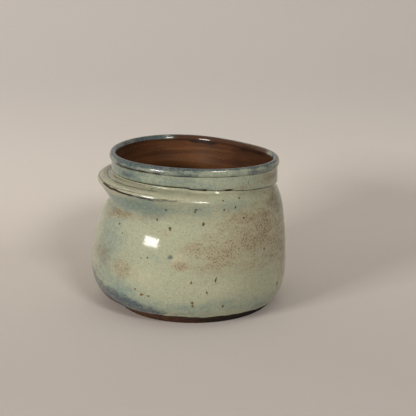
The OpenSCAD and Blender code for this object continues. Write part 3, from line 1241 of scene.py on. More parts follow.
@dataclass
class CollarGlaze(TurnedPiece):
    """The glaze outside the collar and over the rolled rim."""

    face_rows: int = 26
    roll_rows: int = 56
    marks: ThrowingMarks = ThrowingMarks(0.05, 5.5, 0.1)
    # The roll is flatter where it faces out, and a little less so where it faces in
    flat_depth: float = 0.45
    flat_angle: float = 20
    flat_reach: float = 32
    flat_inside: float = 0.7
    flat_back: float = 0.35
    unround: float = 0.12
    unround_waves: Waves = ((1, 2, 30), (0.7, 3, 75), (0.5, 5, 10))
    # The small pit that the healed joint left, between two lips
    pit: Wash = Wash(296.3, 117.2, 2.6, 0.75)
    pit_lips: tuple[Wash, ...] = (Wash(296.3, 118.4, 3.2, 0.6), Wash(296.3, 116.0, 3.2, 0.6))
    pit_depth: float = 0.9
    pit_lip_h: float = 0.35
    uneven_waves: Waves = ((0.6, 7, 3), (0.5, 13, 40), (0.4, 29, 11))
    inner_edge_waves: Waves = ((0.3, 5, 20), (0.25, 11, 0))
    brown_lip: Stretch = Stretch(55, 36, 26)
    left_side: Stretch = Stretch(236, 22, 14)
    # Where the painted shade under the roll lies lower, and how strong it is at the left and the
    # right
    low_line: Stretch = Stretch(228, 16, 22)
    left_line: Stretch = Stretch(232, 22, 12)
    right_line: Stretch = Stretch(300, 38, 12)
    covered_edge: Stretch = Stretch(145, 25, 20)
    pooled_edge: Stretch = Stretch(85, 35, 15)
    pale_front: Stretch = Stretch(290, 40, 20)

    def sections(self, turn: np.ndarray) -> tuple[np.ndarray, dict[Mask, np.ndarray]]:
        """The glaze's closed section and its masks, as TurnedPiece.sections gives them."""
        form, round_turn = self.form, turn[:, None]
        outline = form.collar_outside(turn, self.face_rows, self.roll_rows)
        height, run = outline[..., 1], run_along(outline)
        rows_below_roll = height.shape[1] - self.roll_rows - np.arange(height.shape[1])
        on_face = ease(run / 3) * ease(rows_below_roll / 6)
        pit = self.pit.over(round_turn, height)
        lips = sum(lip.over(round_turn, height) for lip in self.pit_lips)
        relief = on_face * self.marks.over(round_turn, height)
        relief = relief - self.pit_depth * pit + self.pit_lip_h * lips
        relief[:, -self.roll_rows :] += self.rounded(form.roll_angles(self.roll_rows))
        relief += self.unround * ripple(round_turn, self.unround_waves)
        face = moved(outline, relief)
        clay = moved(outline, -form.glaze_t)
        section = closed(face, clay)
        masks = self.masks(round_turn, height, run, pit, lips)
        return section, {mask: padded(values, section.shape[1]) for mask, values in masks.items()}

    def rounded(self, angle: np.ndarray) -> np.ndarray:
        """How far the roll stands off a round one, by the angle round it.

        Args:
            angle: angles round the roll, 0 outwards and 90 up.

        Returns:
            A distance at each angle.
        """
        outside = hump(angle - self.flat_angle, self.flat_reach)
        inside = hump(angle - 180 + self.flat_angle, self.flat_reach)
        return self.flat_depth * (self.flat_back - outside - self.flat_inside * inside)

    def masks(
        self,
        turn: np.ndarray,
        height: np.ndarray,
        run: np.ndarray,
        pit: np.ndarray,
        lips: np.ndarray,
    ) -> dict[Mask, np.ndarray]:
        """What the glaze does at each point of the collar and the roll.

        Args:
            turn: the turns, as a column.
            height: heights of the points.
            run: distances along the outline.
            pit: how deep the pit is.
            lips: how high its lips are.

        Returns:
            One array of values a mask.
        """
        form = self.form
        on_roll = form.roll_angles(self.roll_rows)
        under = on_roll[0]
        # Rows below the roll count as well under it
        angle = np.full(height.shape[1], under - 60.0)
        angle[-self.roll_rows :] = on_roll
        angle = angle[None, :]
        open_at, closed_at = form.open_at(turn), 1 - form.open_at(turn)
        uneven = 0.6 + 0.4 * ripple(turn, self.uneven_waves)
        brown_lip = self.brown_lip.at(turn) * ease((angle - 104) / 14)
        # Painted shade on the roll's downward face: a dark line, lower at the left, in the thin and
        # blue colours
        low_line = under + 4 + 24 * self.low_line.at(turn)
        painted_shade_under_roll = hump(angle - low_line, 14) * np.clip(uneven + 0.25, 0.35, 1)
        inner_edge = ease((angle - 150 + 25 * ripple(turn, self.inner_edge_waves)) / 20)
        inner_edge = inner_edge * (1 - self.covered_edge.at(turn))
        thin = {
            "at the crevice": 0.8 * hump(run, 0.5) * open_at,
            "at the joint": 0.3 * hump(run - 0.5, 0.7) * closed_at * (1 - form.healed_at(turn)),
            # Painted shade under the roll
            "under the roll, left": painted_shade_under_roll * self.left_line.at(turn),
            "under the roll, right": 0.75 * painted_shade_under_roll * self.right_line.at(turn),
            "in the pit": np.clip(1.6 * pit, 0, 1),
            "on the inner edge": 0.6 * inner_edge * (1 - self.pooled_edge.at(turn)),
        }
        left = self.left_side.at(turn)
        top_band = ease((angle + 5 + 22 * left) / 60) * (0.8 + 0.2 * uneven) * (1 - brown_lip)
        bead = ease((angle - under) / 20) * (0.7 + 0.3 * np.clip(uneven, 0, 1))
        blue = [
            washed(COLLAR_BLUES, turn, height),
            (0.78 + 0.14 * left) * top_band,
            (0.58 + 0.06 * left) * bead,
            # The painted shade under the roll is bluish too
            0.7 * painted_shade_under_roll,
        ]
        pool = np.maximum(washed(COLLAR_POOLS, turn, height), 0.45 * ease((angle - 10) / 60))
        pale = np.maximum(0.8 * lips, 0.4 * hump(angle - 30, 25) * self.pale_front.at(turn))
        return {
            Mask.THIN: np.maximum.reduce(list(thin.values())),
            Mask.BLUE: np.maximum.reduce(blue),
            Mask.POOL: pool,
            Mask.WARM: washed(COLLAR_WARMS, turn, height),
            Mask.PALE: pale,
            Mask.BROWN: np.maximum(brown_lip, washed(COLLAR_BROWNS, turn, height)),
        }


@dataclass
class LinerGlaze(TurnedPiece):
    """The brown glaze inside, from the drain hole over the floor and up to the roll."""

    wall_rows: Rows = (46, 40, 16, 8)
    floor_rows: int = 24
    collar_rows: int = 18
    marks: ThrowingMarks = ThrowingMarks(0.07, 6.2, 0.15)
    tuck: float = 0.1
    # The dark glaze that gathered under the roll at the back, and the two runs that go lower
    dark_reach: float = 2.3
    dark_waves: Waves = ((1, 3, 10), (0.8, 7, 40), (0.6, 13, 5))
    dark_back: Stretch = Stretch(58, 44, 22)
    dark_runs: Strengths = ((3.4, Stretch(80, 6, 9)), (2.6, Stretch(27, 9, 9)))
    # Painted light: low on the back wall the glaze is coloured lighter, against the shade deep
    # inside
    painted_light_back: Stretch = Stretch(112, 30, 24)
    # Painted shade: the inner walls to the left and to the right are coloured darker
    painted_shade_sides: Strengths = ((0.42, Stretch(165, 20, 22)), (0.5, Stretch(20, 22, 16)))

    def sections(self, turn: np.ndarray) -> tuple[np.ndarray, dict[Mask, np.ndarray]]:
        """The glaze's closed section and its masks, as TurnedPiece.sections gives them."""
        form, round_turn = self.form, turn[:, None]
        floor_z = form.hollow_depth + form.floor_t
        hole = form.from_axis(form.drain_r + form.wiped_back, turn)[:, None]
        edge = form.from_axis(form.floor_r, turn)[:, None]
        shares = np.arange(self.floor_rows)[None, :] / self.floor_rows
        flat = point(mix(hole, edge, shares), np.full_like(hole * shares, floor_z))
        wall = form.body_inside(turn, self.wall_rows)
        clay = np.concatenate([flat, wall, form.collar_inside(turn, self.collar_rows)], axis=1)
        height, run = clay[..., 1], run_along(clay)
        from_top = run[:, -1:] - run
        rings = self.marks.over(round_turn, np.where(height > floor_z + 2, height, run * 0.7))
        calm = ease(run / 2) * ease(from_top / 4)
        lift = form.liner_t * ease(run / 0.8) + rings * calm
        face = moved(clay, -lift)
        face[:, 0] = clay[:, 0]
        section = closed(face, moved(clay, self.tuck))
        on_rings = np.clip(rings / self.marks.depth, 0, 1) * calm
        # Painted light on the back wall below the collar
        lower = ease((121 - height) / 8) * self.painted_light_back.at(round_turn)
        on_floor = 0.6 * hump(height - floor_z, 4)
        # Painted shade at the sides, in the same mask as the gathered dark glaze
        painted_side_shade = sum(strength * stretch.at(round_turn) for strength, stretch in self.painted_shade_sides)
        dark = np.maximum(self.darkened(round_turn, from_top), on_floor)
        masks = {
            Mask.THIN: np.maximum(on_rings, 0.9 * lower),
            Mask.POOL: np.maximum(dark, painted_side_shade),
        }
        return section, {mask: padded(values, section.shape[1]) for mask, values in masks.items()}

    def darkened(self, turn: np.ndarray, from_top: np.ndarray) -> np.ndarray:
        """Where the dark glaze gathered, from the roll down.

        Args:
            turn: the turns, as a column.
            from_top: distances from the top of the glaze.

        Returns:
            A value at each point.
        """
        reach = self.dark_reach + 0.6 * ripple(turn, self.dark_waves)
        reach = reach + sum(longer * stretch.at(turn) for longer, stretch in self.dark_runs)
        dark = ease((reach - from_top) / 2.2) * self.dark_back.at(turn)
        return dark * ease((from_top + 0.6) / 1.2)


@dataclass
class ClayBody(TurnedPiece):
    """The clay of the body, bare at the foot, under the base and in the drain hole."""

    bare_rows: int = 14
    rows: Rows = (8, 12, 12, 12)
    inner_rows: Rows = (8, 8, 4, 3)
    turning_lines: float = 0.07
    turning_spacing: float = 1.6
    under_liner: float = 0.15
    # Painted shadow: the bare clay low on the right is coloured near black, where shadow falls by
    # the floor
    painted_shadow_side: Stretch = Stretch(325, 28, 50)
    painted_shadow_below: float = 20
    # Radii of the rings that only carry the base from the drain hole to the foot
    base_rings: tuple[float, ...] = (20.0, 38.0)
    ground_ring: float = 61.0

    def sections(self, turn: np.ndarray) -> tuple[np.ndarray, dict[Mask, np.ndarray]]:
        """As TurnedPiece.sections, starting at the drain hole's lower edge."""
        form, round_turn = self.form, turn[:, None]
        hole, floor_z = form.from_axis(form.drain_r, turn), form.hollow_depth + form.floor_t
        under = [
            (form.drain_r + 0.6, form.hollow_depth),
            *((r, form.hollow_depth) for r in self.base_rings),
            (form.hollow_r - 2.5, form.hollow_depth),
            (form.hollow_r - 0.6, form.hollow_depth * 0.75),
            (form.hollow_r + 0.6, form.hollow_depth * 0.2),
            (form.hollow_r + 2.0, 0.0),
            (self.ground_ring, 0.0),
            (form.foot_r - 1.0, 0.0),
            (form.foot_r - 0.2, 0.12),
        ]
        base = [point(form.from_axis(r, turn), np.full_like(turn, z)) for r, z in under]
        bare_wall = form.bare_outside(turn, self.bare_rows)
        outline = np.concatenate([bare_wall, form.body_outside(turn, self.rows)], axis=1)
        bare = 1 - ease(outline[..., 1] - form.glaze_z(round_turn))
        lines = np.sin(2 * math.pi * (run_along(outline) / self.turning_spacing + round_turn / 360))
        clay = moved(moved(outline, -form.glaze_t), self.turning_lines * lines * bare)
        clay[:, -1] = point(form.groove_r(turn) - form.glaze_t, form.seat_z(turn))
        seat = point(form.slip_outside_r(turn), form.seat_z(turn))[:, None]
        inside = form.body_inside(turn, self.inner_rows)[:, ::-1]
        inside = inside + [self.under_liner, -self.under_liner]
        rounded_bore = [
            (2, floor_z - 0.02),
            (0.5, floor_z - 0.1),
            (0, floor_z - 0.6),
            (0, form.hollow_depth + 0.5),
        ]
        bore = [point(hole + wider, np.full_like(turn, z)) for wider, z in rounded_bore]
        section = [np.stack(base, axis=1), clay, seat, inside, np.stack(bore, axis=1)]
        section = np.concatenate(section, axis=1)
        # The outside low on the right takes the mask of the painted shadow
        low_outside = (section[..., 0] > form.foot_r) & (section[..., 1] < self.painted_shadow_below)
        return section, {Mask.POOL: low_outside * self.painted_shadow_side.at(round_turn)}


@dataclass
class ClayCollar(TurnedPiece):
    """The clay of the collar, which shows only in the crevice under it."""

    face_rows: int = 6
    roll_rows: int = 16
    inner_rows: int = 6

    def sections(self, turn: np.ndarray) -> tuple[np.ndarray, dict[Mask, np.ndarray]]:
        """As TurnedPiece.sections, starting at the slip's outside."""
        form = self.form
        glazed = form.collar_outside(turn, self.face_rows, self.roll_rows)
        clay = moved(glazed, -form.glaze_t)
        clay[:, 0] = point(form.groove_r(turn) - form.glaze_t, form.collar_foot_z(turn))
        start = point(form.slip_outside_r(turn), form.collar_foot_z(turn))[:, None]
        inside = form.collar_inside(turn, self.inner_rows)[:, ::-1]
        section = np.concatenate([start, clay[:, :-1], inside], axis=1)
        return section, {}


@dataclass
class LutingSlip(TurnedPiece):
    """The slip that fills the joint, a little ragged where the crevice shows it."""

    ragged: float = 0.25
    ragged_waves: Waves = ((1, 19, 0), (0.8, 37, 25), (0.6, 61, 10))
    bulge: float = 0.25

    def sections(self, turn: np.ndarray) -> tuple[np.ndarray, dict[Mask, np.ndarray]]:
        """As TurnedPiece.sections, starting low on the outside."""
        form = self.form
        low, high = form.seat_z(turn), form.collar_foot_z(turn)
        wave = self.ragged * ripple(turn, self.ragged_waves) * form.open_at(turn)
        out, inner = form.slip_outside_r(turn) + wave, form.joint_inside_r(turn)
        middle = (out + self.bulge, mix(low, high, 0.5))
        corners = [(out, low), middle, (out, high), (inner, high), (inner, low)]
        return np.stack([point(r, z) for r, z in corners], axis=1), {}


@dataclass(frozen=True)
class IronSpot:
    """One melted speck of iron, by its place and its size in millimetres."""

    turn: float
    height: float
    wide: float
    tall: float
    tilt: float = 0.0


IRON_SPOTS = [
    IronSpot(272, 23.7, 1.8, 2.6, 30),
    IronSpot(243.5, 29.9, 1.8, 1.7),
    IronSpot(239.5, 33.6, 1.2, 1.4),
    IronSpot(247.5, 29.4, 0.9, 1.3, 20),
    IronSpot(280, 33.6, 0.9, 0.9),
    IronSpot(289.5, 19.7, 1.0, 1.2),
    IronSpot(333, 25.1, 1.8, 1.6),
    IronSpot(271.5, 43.6, 0.8, 1.5),
    IronSpot(221, 83.3, 1.1, 1.1),
    IronSpot(249, 91.6, 1.1, 1.3, -20),
    IronSpot(258.5, 86.1, 1.5, 1.5, -20),
    IronSpot(256.5, 102.5, 1.4, 1.2, -20),
    IronSpot(274.5, 103.6, 1.3, 1.2),
    IronSpot(274.0, 101.6, 0.9, 0.9),
    IronSpot(279, 91.0, 0.9, 2.0, -10),
    IronSpot(285, 44.5, 0.6, 2.8, -18),
    IronSpot(290.5, 110.3, 1.0, 0.8),
    IronSpot(298, 103.9, 0.8, 1.1),
    IronSpot(291, 102.8, 0.9, 0.9),
    IronSpot(301.5, 110.7, 1.0, 0.8),
    IronSpot(303.5, 93.5, 0.9, 0.9),
    IronSpot(245, 117.5, 0.8, 1.4, -35),
    IronSpot(242.5, 61, 0.8, 0.8),
    IronSpot(246.5, 61.8, 0.8, 0.8),
    IronSpot(205.5, 59, 1.1, 1.1),
    IronSpot(317.5, 63.3, 0.9, 1.1),
    IronSpot(226, 77, 0.7, 0.7),
    IronSpot(325, 128.2, 1.3, 0.9),
    IronSpot(20, 40, 1.2, 1.5),
    IronSpot(38, 82, 1.0, 1.2, 30),
    IronSpot(64, 56, 1.5, 1.2),
    IronSpot(95, 90, 1.0, 1.0),
    IronSpot(118, 30, 1.4, 1.8),
    IronSpot(150, 70, 1.1, 1.2),
    IronSpot(172, 44, 1.0, 1.3),
    IronSpot(184, 82, 0.9, 1.0),
]


@dataclass
class IronSpecks:
    """The larger iron specks that melted through the glaze, each a low glossy dome."""

    form: JarForm
    spots: list[IronSpot] = field(default_factory=lambda: IRON_SPOTS)
    proud: float = 0.12
    two_lobed: float = 0.18
    three_lobed: float = 0.12
    segments: int = 16
    ring_count: int = 10
    body_rows: Rows = (60, 80, 60, 50)
    collar_rows: tuple[int, int] = (30, 60)

    def surface(self, turn: float, height: float) -> tuple[Vector, Vector, Vector, Vector]:
        """A place on the glaze, with its outward, sideways and upward directions.

        Args:
            turn: its turn.
            height: its height.

        Returns:
            The place, in metres, and the three directions.
        """
        turns = np.array([turn - 0.5, turn, turn + 0.5])
        if height > self.form.collar_foot_z(turns)[1] + 1:
            line = self.form.collar_outside(turns, *self.collar_rows)
        else:
            line = self.form.body_outside(turns, self.body_rows)
        places = self.form.placed(line, turns)
        row = max(int(np.argmin(np.abs(line[1, :-1, 1] - height))), 1)
        side = Vector(places[2, row] - places[0, row]).normalized()
        up = Vector(places[1, row + 1] - places[1, row - 1]).normalized()
        return Vector(places[1, row]), side.cross(up).normalized(), side, up

    def build(self) -> Object:
        """Makes one dome a speck and joins them into one piece.

        Returns:
            The finished object, without its material.
        """
        domes = []
        for number, spot in enumerate(self.spots):
            deselect_all()
            bpy.ops.mesh.primitive_uv_sphere_add(segments=self.segments, ring_count=self.ring_count)
            dome = bpy.context.object
            dome.name = f"iron_speck_{number:02d}"
            self.shape(dome, spot, number)
            domes.append(dome)
        deselect_all()
        for dome in domes:
            dome.select_set(True)
        bpy.context.view_layer.objects.active = domes[0]
        bpy.ops.object.join()
        piece = bpy.context.object
        piece.name = piece.data.name = "iron_specks"
        bpy.ops.object.shade_smooth()
        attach(piece, "root")
        return piece

    def shape(self, dome: Object, spot: IronSpot, number: int) -> None:
        """Flattens a ball to a low uneven dome and lays it on the glaze.

        Args:
            dome: the ball.
            spot: the speck that it becomes.
            number: its number, which turns its uneven outline.
        """
        place, out, side, up = self.surface(spot.turn, spot.height)
        tilt = math.radians(spot.tilt)
        across = side * math.cos(tilt) + up * math.sin(tilt)
        along = up * math.cos(tilt) - side * math.sin(tilt)
        for vertex in dome.data.vertices:
            x, y, z = vertex.co
            angle = math.atan2(y, x)
            uneven = 1 + self.two_lobed * math.sin(2 * angle + number)
            uneven += self.three_lobed * math.sin(3 * angle + 2.3 * number)
            vertex.co = place + MM * (
                across * (x * uneven * spot.wide)
                + along * (y * uneven * spot.tall)
                + out * (z * self.proud)
            )


# ---------------------------------------------------------------- finishes


def paint(red: int, green: int, blue: int) -> Colour:
    """A colour given as it looks on a screen, in the linear values that materials take.

    Args:
        red: from 0 to 255.
        green: the same.
        blue: the same.

    Returns:
        The colour, fully opaque.
    """

    def linear(value: int) -> float:
        """One channel's linear value."""
        share = value / 255
        return share / 12.92 if share <= 0.04045 else ((share + 0.055) / 1.055) ** 2.4

    return (linear(red), linear(green), linear(blue), 1.0)


class Bench:
    """Lays out and joins the nodes of one tree."""

    def __init__(self, tree: NodeTree) -> None:
        """Starts with an empty tree."""
        self.tree = tree
        self.placed = 0

    def add(self, kind: str, **settings: object) -> Node:
        """Adds a node of a kind with its settings.

        Args:
            kind: the node's type.
            settings: its settings, by name.

        Returns:
            The node.
        """
        node = self.tree.nodes.new(kind)
        node.location = (180 * (self.placed % 12), -220 * (self.placed // 12))
        self.placed += 1
        for name, value in settings.items():
            setattr(node, name, value)
        return node

    def plug(self, socket: Socket, value: Plug) -> None:
        """Joins a socket to another, or sets its value.

        Args:
            socket: the input.
            value: another socket, or a value.
        """
        if isinstance(value, Socket):
            self.tree.links.new(value, socket)
        else:
            socket.default_value = value

    def wired(
        self, kind: str, plugs: dict[str | int, Plug], output: str | int = 0, **settings: object
    ) -> Socket:
        """Adds a node with its inputs.

        Args:
            kind: the node's type.
            plugs: what goes into each input.
            output: the output that is wanted.
            settings: the node's settings, by name.

        Returns:
            The socket of that output.
        """
        node = self.add(kind, **settings)
        for label, value in plugs.items():
            self.plug(node.inputs[label], value)
        return node.outputs[output]

    def math(self, operation: str, a: Plug, b: Plug) -> Socket:
        """One sum of two values."""
        return self.wired("ShaderNodeMath", {0: a, 1: b}, operation=operation)

    def times(self, a: Plug, b: Plug) -> Socket:
        """One value times another."""
        return self.math("MULTIPLY", a, b)

    def plus(self, a: Plug, b: Plug) -> Socket:
        """One value and another."""
        return self.math("ADD", a, b)

    def swing(self, value: Plug, strength: float) -> Socket:
        """How far a value from 0 to 1 lies off its middle, times a strength."""
        return self.times(self.math("SUBTRACT", value, 0.5), strength)

    def between(self, share: Plug, a: Plug, b: Plug) -> Socket:
        """A value between two."""
        return self.wired("ShaderNodeMix", {0: share, 2: a, 3: b}, data_type="FLOAT")

    def blend(self, share: Plug, a: Plug, b: Plug) -> Socket:
        """A colour between two."""
        return self.wired("ShaderNodeMix", {0: share, 6: a, 7: b}, 2, data_type="RGBA")

    def coat(self, under: Plug, mask: Plug, strength: float, over: Plug) -> Socket:
        """A colour laid over another where a mask says, up to a strength."""
        return self.blend(self.times(mask, strength), under, over)

    def smooth(self, value: Plug, low: Plug, high: Plug) -> Socket:
        """From 0 to 1 as a value goes from low to high, with level ends."""
        plugs = {"Value": value, "From Min": low, "From Max": high}
        return self.wired("ShaderNodeMapRange", plugs, "Result", interpolation_type="SMOOTHSTEP")

    def scaled(self, vector: Plug, scale: tuple[float, float, float]) -> Socket:
        """Coordinates stretched along each axis."""
        return self.wired("ShaderNodeVectorMath", {0: vector, 1: scale}, operation="MULTIPLY")

    def noise(
        self, vector: Plug, scale: Plug, detail: float, rough: float, distortion: float = 0
    ) -> Socket:
        """Soft noise from 0 to 1."""
        plugs = {"Vector": vector, "Scale": scale, "Detail": detail, "Roughness": rough}
        return self.wired("ShaderNodeTexNoise", plugs | {"Distortion": distortion}, "Fac")

    def attribute(self, mask: Mask) -> Socket:
        """A mask kept on the mesh."""
        return self.wired("ShaderNodeAttribute", {}, "Fac", attribute_name=mask.value)


class Effect:
    """A shader node group, built once and placed in each material that uses it."""

    made: dict[str, NodeTree] = {}

    def __init__(
        self,
        name: str,
        inputs: dict[str, object],
        outputs: dict[str, str],
        fill: Callable[[Bench, Sockets], Sockets],
    ) -> None:
        """Keeps what the group is called, takes in, puts out and holds.

        Args:
            name: the group's name.
            inputs: default value of each input; a 4-tuple is a colour and None is a vector.
            outputs: kind of each output, Float or Color.
            fill: lays the nodes and returns the socket for each output.
        """
        self.name, self.inputs, self.outputs, self.fill = name, inputs, outputs, fill

    def tree(self) -> NodeTree:
        """The group's tree, made on its first use.

        Returns:
            The tree.
        """
        if self.name in Effect.made:
            return Effect.made[self.name]
        tree = bpy.data.node_groups.new(self.name, "ShaderNodeTree")
        for label, value in self.inputs.items():
            kind = "Vector" if value is None else "Color" if isinstance(value, tuple) else "Float"
            socket = tree.interface.new_socket(
                name=label, in_out="INPUT", socket_type=f"NodeSocket{kind}"
            )
            if value is not None:
                socket.default_value = value
        for label, kind in self.outputs.items():
            tree.interface.new_socket(name=label, in_out="OUTPUT", socket_type=f"NodeSocket{kind}")
        bench = Bench(tree)
        start = bench.add("NodeGroupInput")
        results = self.fill(bench, {socket.name: socket for socket in start.outputs if socket.name})
        end = bench.add("NodeGroupOutput")
        for label, socket in results.items():
            bench.plug(end.inputs[label], socket)
        Effect.made[self.name] = tree
        return tree

    def place(self, bench: Bench, values: dict[str, Plug]) -> Node:
        """Puts the group in a tree with its own values.

        Args:
            bench: the tree's bench.
            values: what goes into each input.

        Returns:
            The group node.
        """
        node = bench.add("ShaderNodeGroup")
        node.node_tree = self.tree()
        for label, value in values.items():
            bench.plug(node.inputs[label], value)
        return node


def fill_mottle(bench: Bench, plugs: Sockets) -> Sockets:
    """Cloudy, streaky and fine unevenness, as a fired glaze has.

    Args:
        bench: the group's bench.
        plugs: its inputs.

    Returns:
        Its outputs.
    """
    place = plugs["Vector"]
    streaks = bench.scaled(place, (1, 1, 2.2))
    runs = bench.scaled(place, (1.1, 1.1, 1.0))
    return {
        "Cloud": bench.noise(place, 26, 3, 0.5, 0.3),
        "Streak": bench.noise(streaks, 95, 4, 0.6, 0.2),
        "Runs": bench.noise(runs, 330, 3, 0.55),
        "Fine": bench.noise(place, plugs["Fineness"], 3, 0.65),
    }


MOTTLE_TONES = ("Cloud", "Streak", "Runs", "Fine")
MOTTLE = Effect(
    "glaze_mottle",
    {"Vector": None, "Fineness": 1000.0},
    {tone: "Float" for tone in MOTTLE_TONES},
    fill_mottle,
)


def fill_flecks(bench: Bench, plugs: Sockets) -> Sockets:
    """Small scattered flecks, with a softer halo round each.

    Args:
        bench: the group's bench.
        plugs: its inputs.

    Returns:
        Its outputs.
    """
    cells = bench.add("ShaderNodeTexVoronoi")
    bench.plug(cells.inputs["Vector"], plugs["Vector"])
    bench.plug(cells.inputs["Scale"], plugs["Scale"])
    chance = bench.add("ShaderNodeSeparateColor")
    bench.plug(chance.inputs[0], cells.outputs["Color"])
    chosen = bench.math("LESS_THAN", chance.outputs[0], plugs["Share"])
    size = bench.times(plugs["Size"], bench.between(chance.outputs[1], 0.45, 1.0))
    near = bench.smooth(cells.outputs["Distance"], size, bench.times(size, 0.35))
    halo = bench.smooth(cells.outputs["Distance"], bench.times(size, 2.4), 0.0)
    return {"Mask": bench.times(near, chosen), "Halo": bench.times(halo, chosen)}


FLECKS = Effect(
    "iron_flecks",
    {"Vector": None, "Scale": 200.0, "Share": 0.2, "Size": 0.2},
    {"Mask": "Float", "Halo": "Float"},
    fill_flecks,
)


def fill_grain(bench: Bench, plugs: Sockets) -> Sockets:
    """The grit of a stoneware clay, as a height and a tone.

    Args:
        bench: the group's bench.
        plugs: its inputs.

    Returns:
        Its outputs.
    """
    coarse = bench.noise(plugs["Vector"], bench.times(plugs["Scale"], 0.25), 4, 0.6)
    fine = bench.noise(plugs["Vector"], plugs["Scale"], 3, 0.7)
    return {
        "Height": bench.between(0.6, coarse, fine),
        "Tone": bench.smooth(bench.between(0.35, coarse, fine), 0.35, 0.68),
    }


GRAIN = Effect(
    "clay_grain",
    {"Vector": None, "Scale": 900.0},
    {"Height": "Float", "Tone": "Float"},
    fill_grain,
)


def fill_rings(bench: Bench, plugs: Sockets) -> Sockets:
    """Level rings left by the wheel, uneven in strength.

    Args:
        bench: the group's bench.
        plugs: its inputs.

    Returns:
        Its outputs.
    """
    stretched = bench.scaled(plugs["Vector"], (0.09, 0.09, 1.0))
    rings = bench.noise(stretched, bench.math("DIVIDE", 1.0, plugs["Spacing"]), 4, 0.6)
    return {"Height": rings, "Tone": bench.smooth(rings, 0.36, 0.66)}


RINGS = Effect(
    "wheel_rings",
    {"Vector": None, "Spacing": 0.006},
    {"Height": "Float", "Tone": "Float"},
    fill_rings,
)


def fill_celadon(bench: Bench, plugs: Sockets) -> Sockets:
    """The colour of a thick pale glaze over dark clay, from its masks and its mottle.

    Args:
        bench: the group's bench.
        plugs: its inputs.

    Returns:
        Its outputs.
    """
    fine, streak, cloud = plugs["Fine"], plugs["Streak"], plugs["Cloud"]

    def stirred(label: str, cloudy: float, streaky: float, low: float, high: float) -> Socket:
        """A mask pushed up and down by the mottle and cut soft.

        Args:
            label: the mask's name.
            cloudy: how far the clouds push it.
            streaky: how far the streaks push it.
            low: where it starts to show.
            high: where it shows in full.

        Returns:
            The socket that gives the stirred mask.
        """
        value = bench.plus(bench.swing(cloud, cloudy), plugs[label])
        return bench.smooth(bench.plus(value, bench.swing(streak, streaky)), low, high)

    warm = stirred("Warm", 0.8, 1.0, 0.02, 0.95)
    # On the rim, the blue and thin masks also carry the painted shade under the roll
    blue = stirred("Blue", 0.5, 0.9, 0.1, 0.85)
    thin = stirred("Thin", 0.0, 0.5, 0.25, 0.75)
    # The broad washes, from the palest to the warmest
    pale, pool = stirred("Pale", 1.0, 1.0, 0.05, 0.95), stirred("Pool", 1.2, 0.9, 0.05, 0.9)
    colour = bench.coat(plugs["Base colour"], pale, 0.85, plugs["Pale colour"])
    colour = bench.coat(colour, pool, 0.9, plugs["Pool colour"])
    colour = bench.coat(colour, warm, 0.5, plugs["Warm colour"])
    # Fine mottle: light runs, dark dips, and grit that is thickest where the glaze is warm
    colour = bench.coat(colour, bench.smooth(plugs["Runs"], 0.42, 0.66), 0.28, plugs["Pale colour"])
    colour = bench.coat(colour, bench.smooth(fine, 0.52, 0.34), 0.58, plugs["Dip colour"])
    edge = bench.between(warm, 0.57, 0.41)
    grit = bench.smooth(fine, edge, bench.plus(edge, 0.17))
    grit = bench.times(grit, bench.between(warm, 0.5, 0.75))
    colour = bench.blend(grit, colour, plugs["Grit colour"])
    # Blue that breaks up into the mottle, then brown and the clay that shows through
    speckled = bench.smooth(bench.plus(blue, bench.swing(fine, 2.8)), 0.0, 1.3)
    blues = bench.times(speckled, bench.smooth(blue, 0.0, 0.8))
    colour = bench.blend(blues, colour, plugs["Blue colour"])
    colour = bench.blend(stirred("Brown", 0.0, 0.4, 0.2, 0.8), colour, plugs["Brown colour"])
    colour = bench.blend(thin, colour, plugs["Thin colour"])
    return {"Colour": colour, "Thinness": thin, "Grit": grit}


GREY: Colour = (0.2, 0.2, 0.2, 1.0)
GLAZE_COLOURS = ("Base", "Pale", "Pool", "Warm", "Grit", "Dip", "Brown", "Blue", "Thin")
CELADON = Effect(
    "glaze_over_dark_clay",
    {tone: 0.5 for tone in MOTTLE_TONES}
    | {mask.value.capitalize(): 0.0 for mask in Mask}
    | {f"{name} colour": GREY for name in GLAZE_COLOURS},
    {"Colour": "Color", "Thinness": "Float", "Grit": "Float"},
    fill_celadon,
)


def blank_material(name: str) -> tuple[Material, Bench, Node, Socket]:
    """A new material with its shader, and the coordinates that its patterns follow.

    Args:
        name: its name.

    Returns:
        The material, its bench, its shader and the Object coordinates.
    """
    material = bpy.data.materials.new(name)
    material.use_nodes = True
    tree = material.node_tree
    tree.nodes.clear()
    bench = Bench(tree)
    shader = bench.add("ShaderNodeBsdfPrincipled")
    output = bench.add("ShaderNodeOutputMaterial")
    bench.plug(output.inputs["Surface"], shader.outputs["BSDF"])
    place = bench.add("ShaderNodeTexCoord").outputs["Object"]
    return material, bench, shader, place


def bump(bench: Bench, shader: Node, height: Plug, strength: float, distance: float) -> None:
    """Raises the surface by a height, through the shader's normal."""
    plugs = {"Strength": strength, "Distance": distance, "Height": height}
    bench.plug(shader.inputs["Normal"], bench.wired("ShaderNodeBump", plugs, "Normal"))


